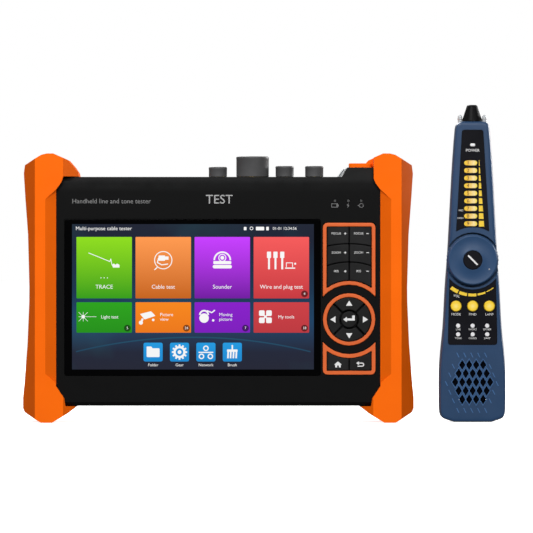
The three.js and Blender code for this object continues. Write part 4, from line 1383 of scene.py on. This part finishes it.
class KIT_OT_dial(PieceOperator):
    """Make the thumb dial with its ribbed rim and its centre cap"""

    bl_idname = "kit.dial"
    bl_label = "Dial"

    def make(self):
        self.wheel()
        refined("dial_centre_cap", MATERIALS["label"], 0.1 * MM)
        front = low_corner("dial_centre_cap").y
        d = Drawing(DIAL.x, DIAL.z, front - PRINT_GAP, turn=-45)
        d.box(-4.6, -0.55, 4.6, 0.55, 0.25)
        d.finish("dial_mark", "dial", "label_film", MATERIALS["white_ink"])
        d = Drawing(DIAL.x + 11.3, DIAL.z - 6.2, low_corner("dial_wheel").y + 0.02)
        d.disc(0, 0, 0.5, 16)
        d.finish("dial_dot", "dial", "blue_plastic", MATERIALS["grey_ink"])

    def wheel(self):
        """A dished face with a raised lip, and a rim of round ribs behind it."""
        low, high = low_corner("dial_wheel"), high_corner("dial_wheel")
        rim = (high.x - low.x) / 2
        front, back = -low.y, -high.y
        face = rim - 1.1
        seat = 6.7
        bore = 1.7
        profile = [
            (bore, back), (rim - 0.9, back), (rim - 0.5, back + 0.3), (rim - 0.5, back + 2.0),
            (rim - 0.9, back + 2.3), (face, back + 2.3), (face, front - 0.9),
            (face - 0.3, front - 0.3), (face - 0.7, front), (face - 1.1, front),
            (face - 1.4, front - 0.1), (seat + 0.9, front - 0.1), (seat + 0.7, front),
            (seat, front), (seat, front - 1.4), (bore, front - 1.4), (bore, back),
        ]
        axle = Vector((DIAL.x, 0, DIAL.z))
        bm = turned(profile, axle, "Y", 80)
        ribs = 40
        thick = 0.85
        for i in range(ribs):
            angle = TURN * i / ribs
            place = axle + Vector((math.cos(angle), 0, math.sin(angle))) * (rim - thick)
            place.y = -(back + 1.2)
            rib = bmesh.ops.create_uvsphere(bm, u_segments=10, v_segments=8, radius=thick * MM)
            bmesh.ops.scale(bm, verts=rib["verts"], vec=(0.85, 1.25, 0.85))
            bmesh.ops.translate(bm, verts=rib["verts"], vec=place * MM)
        add_piece("dial_wheel_surface", bm, "dial", MATERIALS["dial"],
                  ["dial_wheel"], 40)


# The nine signal windows, from the highest down.
WINDOWS = [176.9 - 5.19 * i for i in range(9)]
# Outer radius and width of each bar of the scale under the dial.
LEVEL_BARS = [(25.1, 2.5), (24.95, 2.1), (24.8, 1.9), (24.4, 1.3), (23.9, 0.6)]


class KIT_OT_probe_labels(PieceOperator):
    """Make the probe's two black labels, their prints, light windows and buttons"""

    bl_idname = "kit.probe_labels"
    bl_label = "Probe labels"

    def make(self):
        refined("upper_label", MATERIALS["label"], 0.1 * MM)
        refined("lower_label", MATERIALS["label"], 0.1 * MM)
        refined("signal_light_guide", MATERIALS["amber_lens"], 0.15 * MM)
        refined("status_light_guide", MATERIALS["white_lens"], 0.25 * MM)
        for name in ("mode", "search", "lamp"):
            refined(name + "_button", MATERIALS["yellow"], 0.3 * MM, 3)
        self.y = low_corner("upper_label").y - PRINT_GAP
        self.glass_y = low_corner("signal_light_guide").y - PRINT_GAP
        self.power_light()
        self.bars()
        self.words()

    def power_light(self):
        """White diffuser over the topmost window."""
        d = Drawing(PROBE_X, WINDOWS[0] + 12.3, self.glass_y - 0.1)
        d.box(-1.75, -0.95, 1.75, 0.95, 0.9)
        d.finish("power_light", "probe", "white_light", MATERIALS["white_lens"], 0.3 * MM,
                 0.12 * MM)

    def bars(self):
        """Bars that widen beside the windows, and a curved scale under the dial."""
        d = Drawing(PROBE_X + 4.25, 0, self.y)
        for i, z in enumerate(WINDOWS):
            top = 0.25 + 0.38 * i
            d.polygon([(0, z - 1.95), (top + 0.35, z - 1.95), (top, z + 1.95), (0, z + 1.95)])
        d.finish("strength_bars", "probe", "label_film", MATERIALS["yellow_ink"])
        d = Drawing(DIAL.x, DIAL.z, self.y)
        for i, (radius, width) in enumerate(LEVEL_BARS):
            d.ring(0, 0, radius, width, 232 + 15.4 * i, 13.2, 8)
        d.finish("level_bars", "probe", "label_film", MATERIALS["yellow_ink"])

    def words(self):
        def word(name, text, x, z, height=1.3, turn=0):
            lettering(name, text, PROBE_X + x, z, self.y, height, "probe",
                      MATERIALS["white_ink"], turn)

        word("power_word", "POWER", 0, 185.4, 1.9)
        for i, z in enumerate(WINDOWS, 1):
            lettering(f"level_number_{i}", str(i), PROBE_X - 3.1, z, self.glass_y, 2.3, "probe",
                      MATERIALS["brown_ink"])
        word("near_word", "MID", -7.9, 144.4, 1.2)
        word("far_word", "HIGH", -8.3, 139.2, 1.2)
        word("volume_word", "VOL", -11.0, 86.0, 1.6, -12)
        for x, text in ((-11.35, "MODE"), (0, "FIND"), (11.35, "LAMP")):
            word(text.lower() + "_word", text, x, 73.5, 1.6)
        for z, row in ((63.2, ("LIVE", "SHORT", "OTHER")), (57.2, ("TONE", "CROSS", "LAMP"))):
            for x, text in zip((-9.9, 0, 9.9), row):
                word(f"{text.lower()}_status_word", text, x, z, 1.25)


CLASSES = [
    KitColours,
    KitSizes,
    KIT_OT_finishes,
    KIT_OT_stage,
    KIT_OT_housing,
    KIT_OT_bumpers,
    KIT_OT_screen,
    KIT_OT_keypad,
    KIT_OT_ports,
    KIT_OT_power,
    KIT_OT_housing_prints,
    KIT_OT_probe_shells,
    KIT_OT_probe_head,
    KIT_OT_dial,
    KIT_OT_probe_labels,
]
STEPS = [c for c in CLASSES if issubclass(c, bpy.types.Operator)]


class KIT_PT_panel(bpy.types.Panel):
    bl_label = "Probe Kit"
    bl_space_type = "VIEW_3D"
    bl_region_type = "UI"
    bl_category = "Probe Kit"

    def draw(self, context):
        for step in STEPS:
            self.layout.operator(step.bl_idname)
        for group in (context.scene.kit_colours, context.scene.kit_sizes):
            box = self.layout.box()
            for name in group.__annotations__:
                box.prop(group, name)


def register():
    for item in [*CLASSES, KIT_PT_panel]:
        bpy.utils.register_class(item)
    bpy.types.Scene.kit_colours = PointerProperty(type=KitColours)
    bpy.types.Scene.kit_sizes = PointerProperty(type=KitSizes)


def unregister():
    del bpy.types.Scene.kit_colours
    del bpy.types.Scene.kit_sizes
    for item in reversed([*CLASSES, KIT_PT_panel]):
        bpy.utils.unregister_class(item)


def clear_start_scene():
    """Removes the cube, lamp and camera of a new Blender scene."""
    for name in ("Cube", "Light", "Camera"):
        if name in bpy.data.objects:
            bpy.data.objects.remove(bpy.data.objects[name])


def main():
    register()
    clear_start_scene()
    for step in STEPS:
        group, name = step.bl_idname.split(".")
        getattr(getattr(bpy.ops, group), name)()


if __name__ == "__main__":
    main()
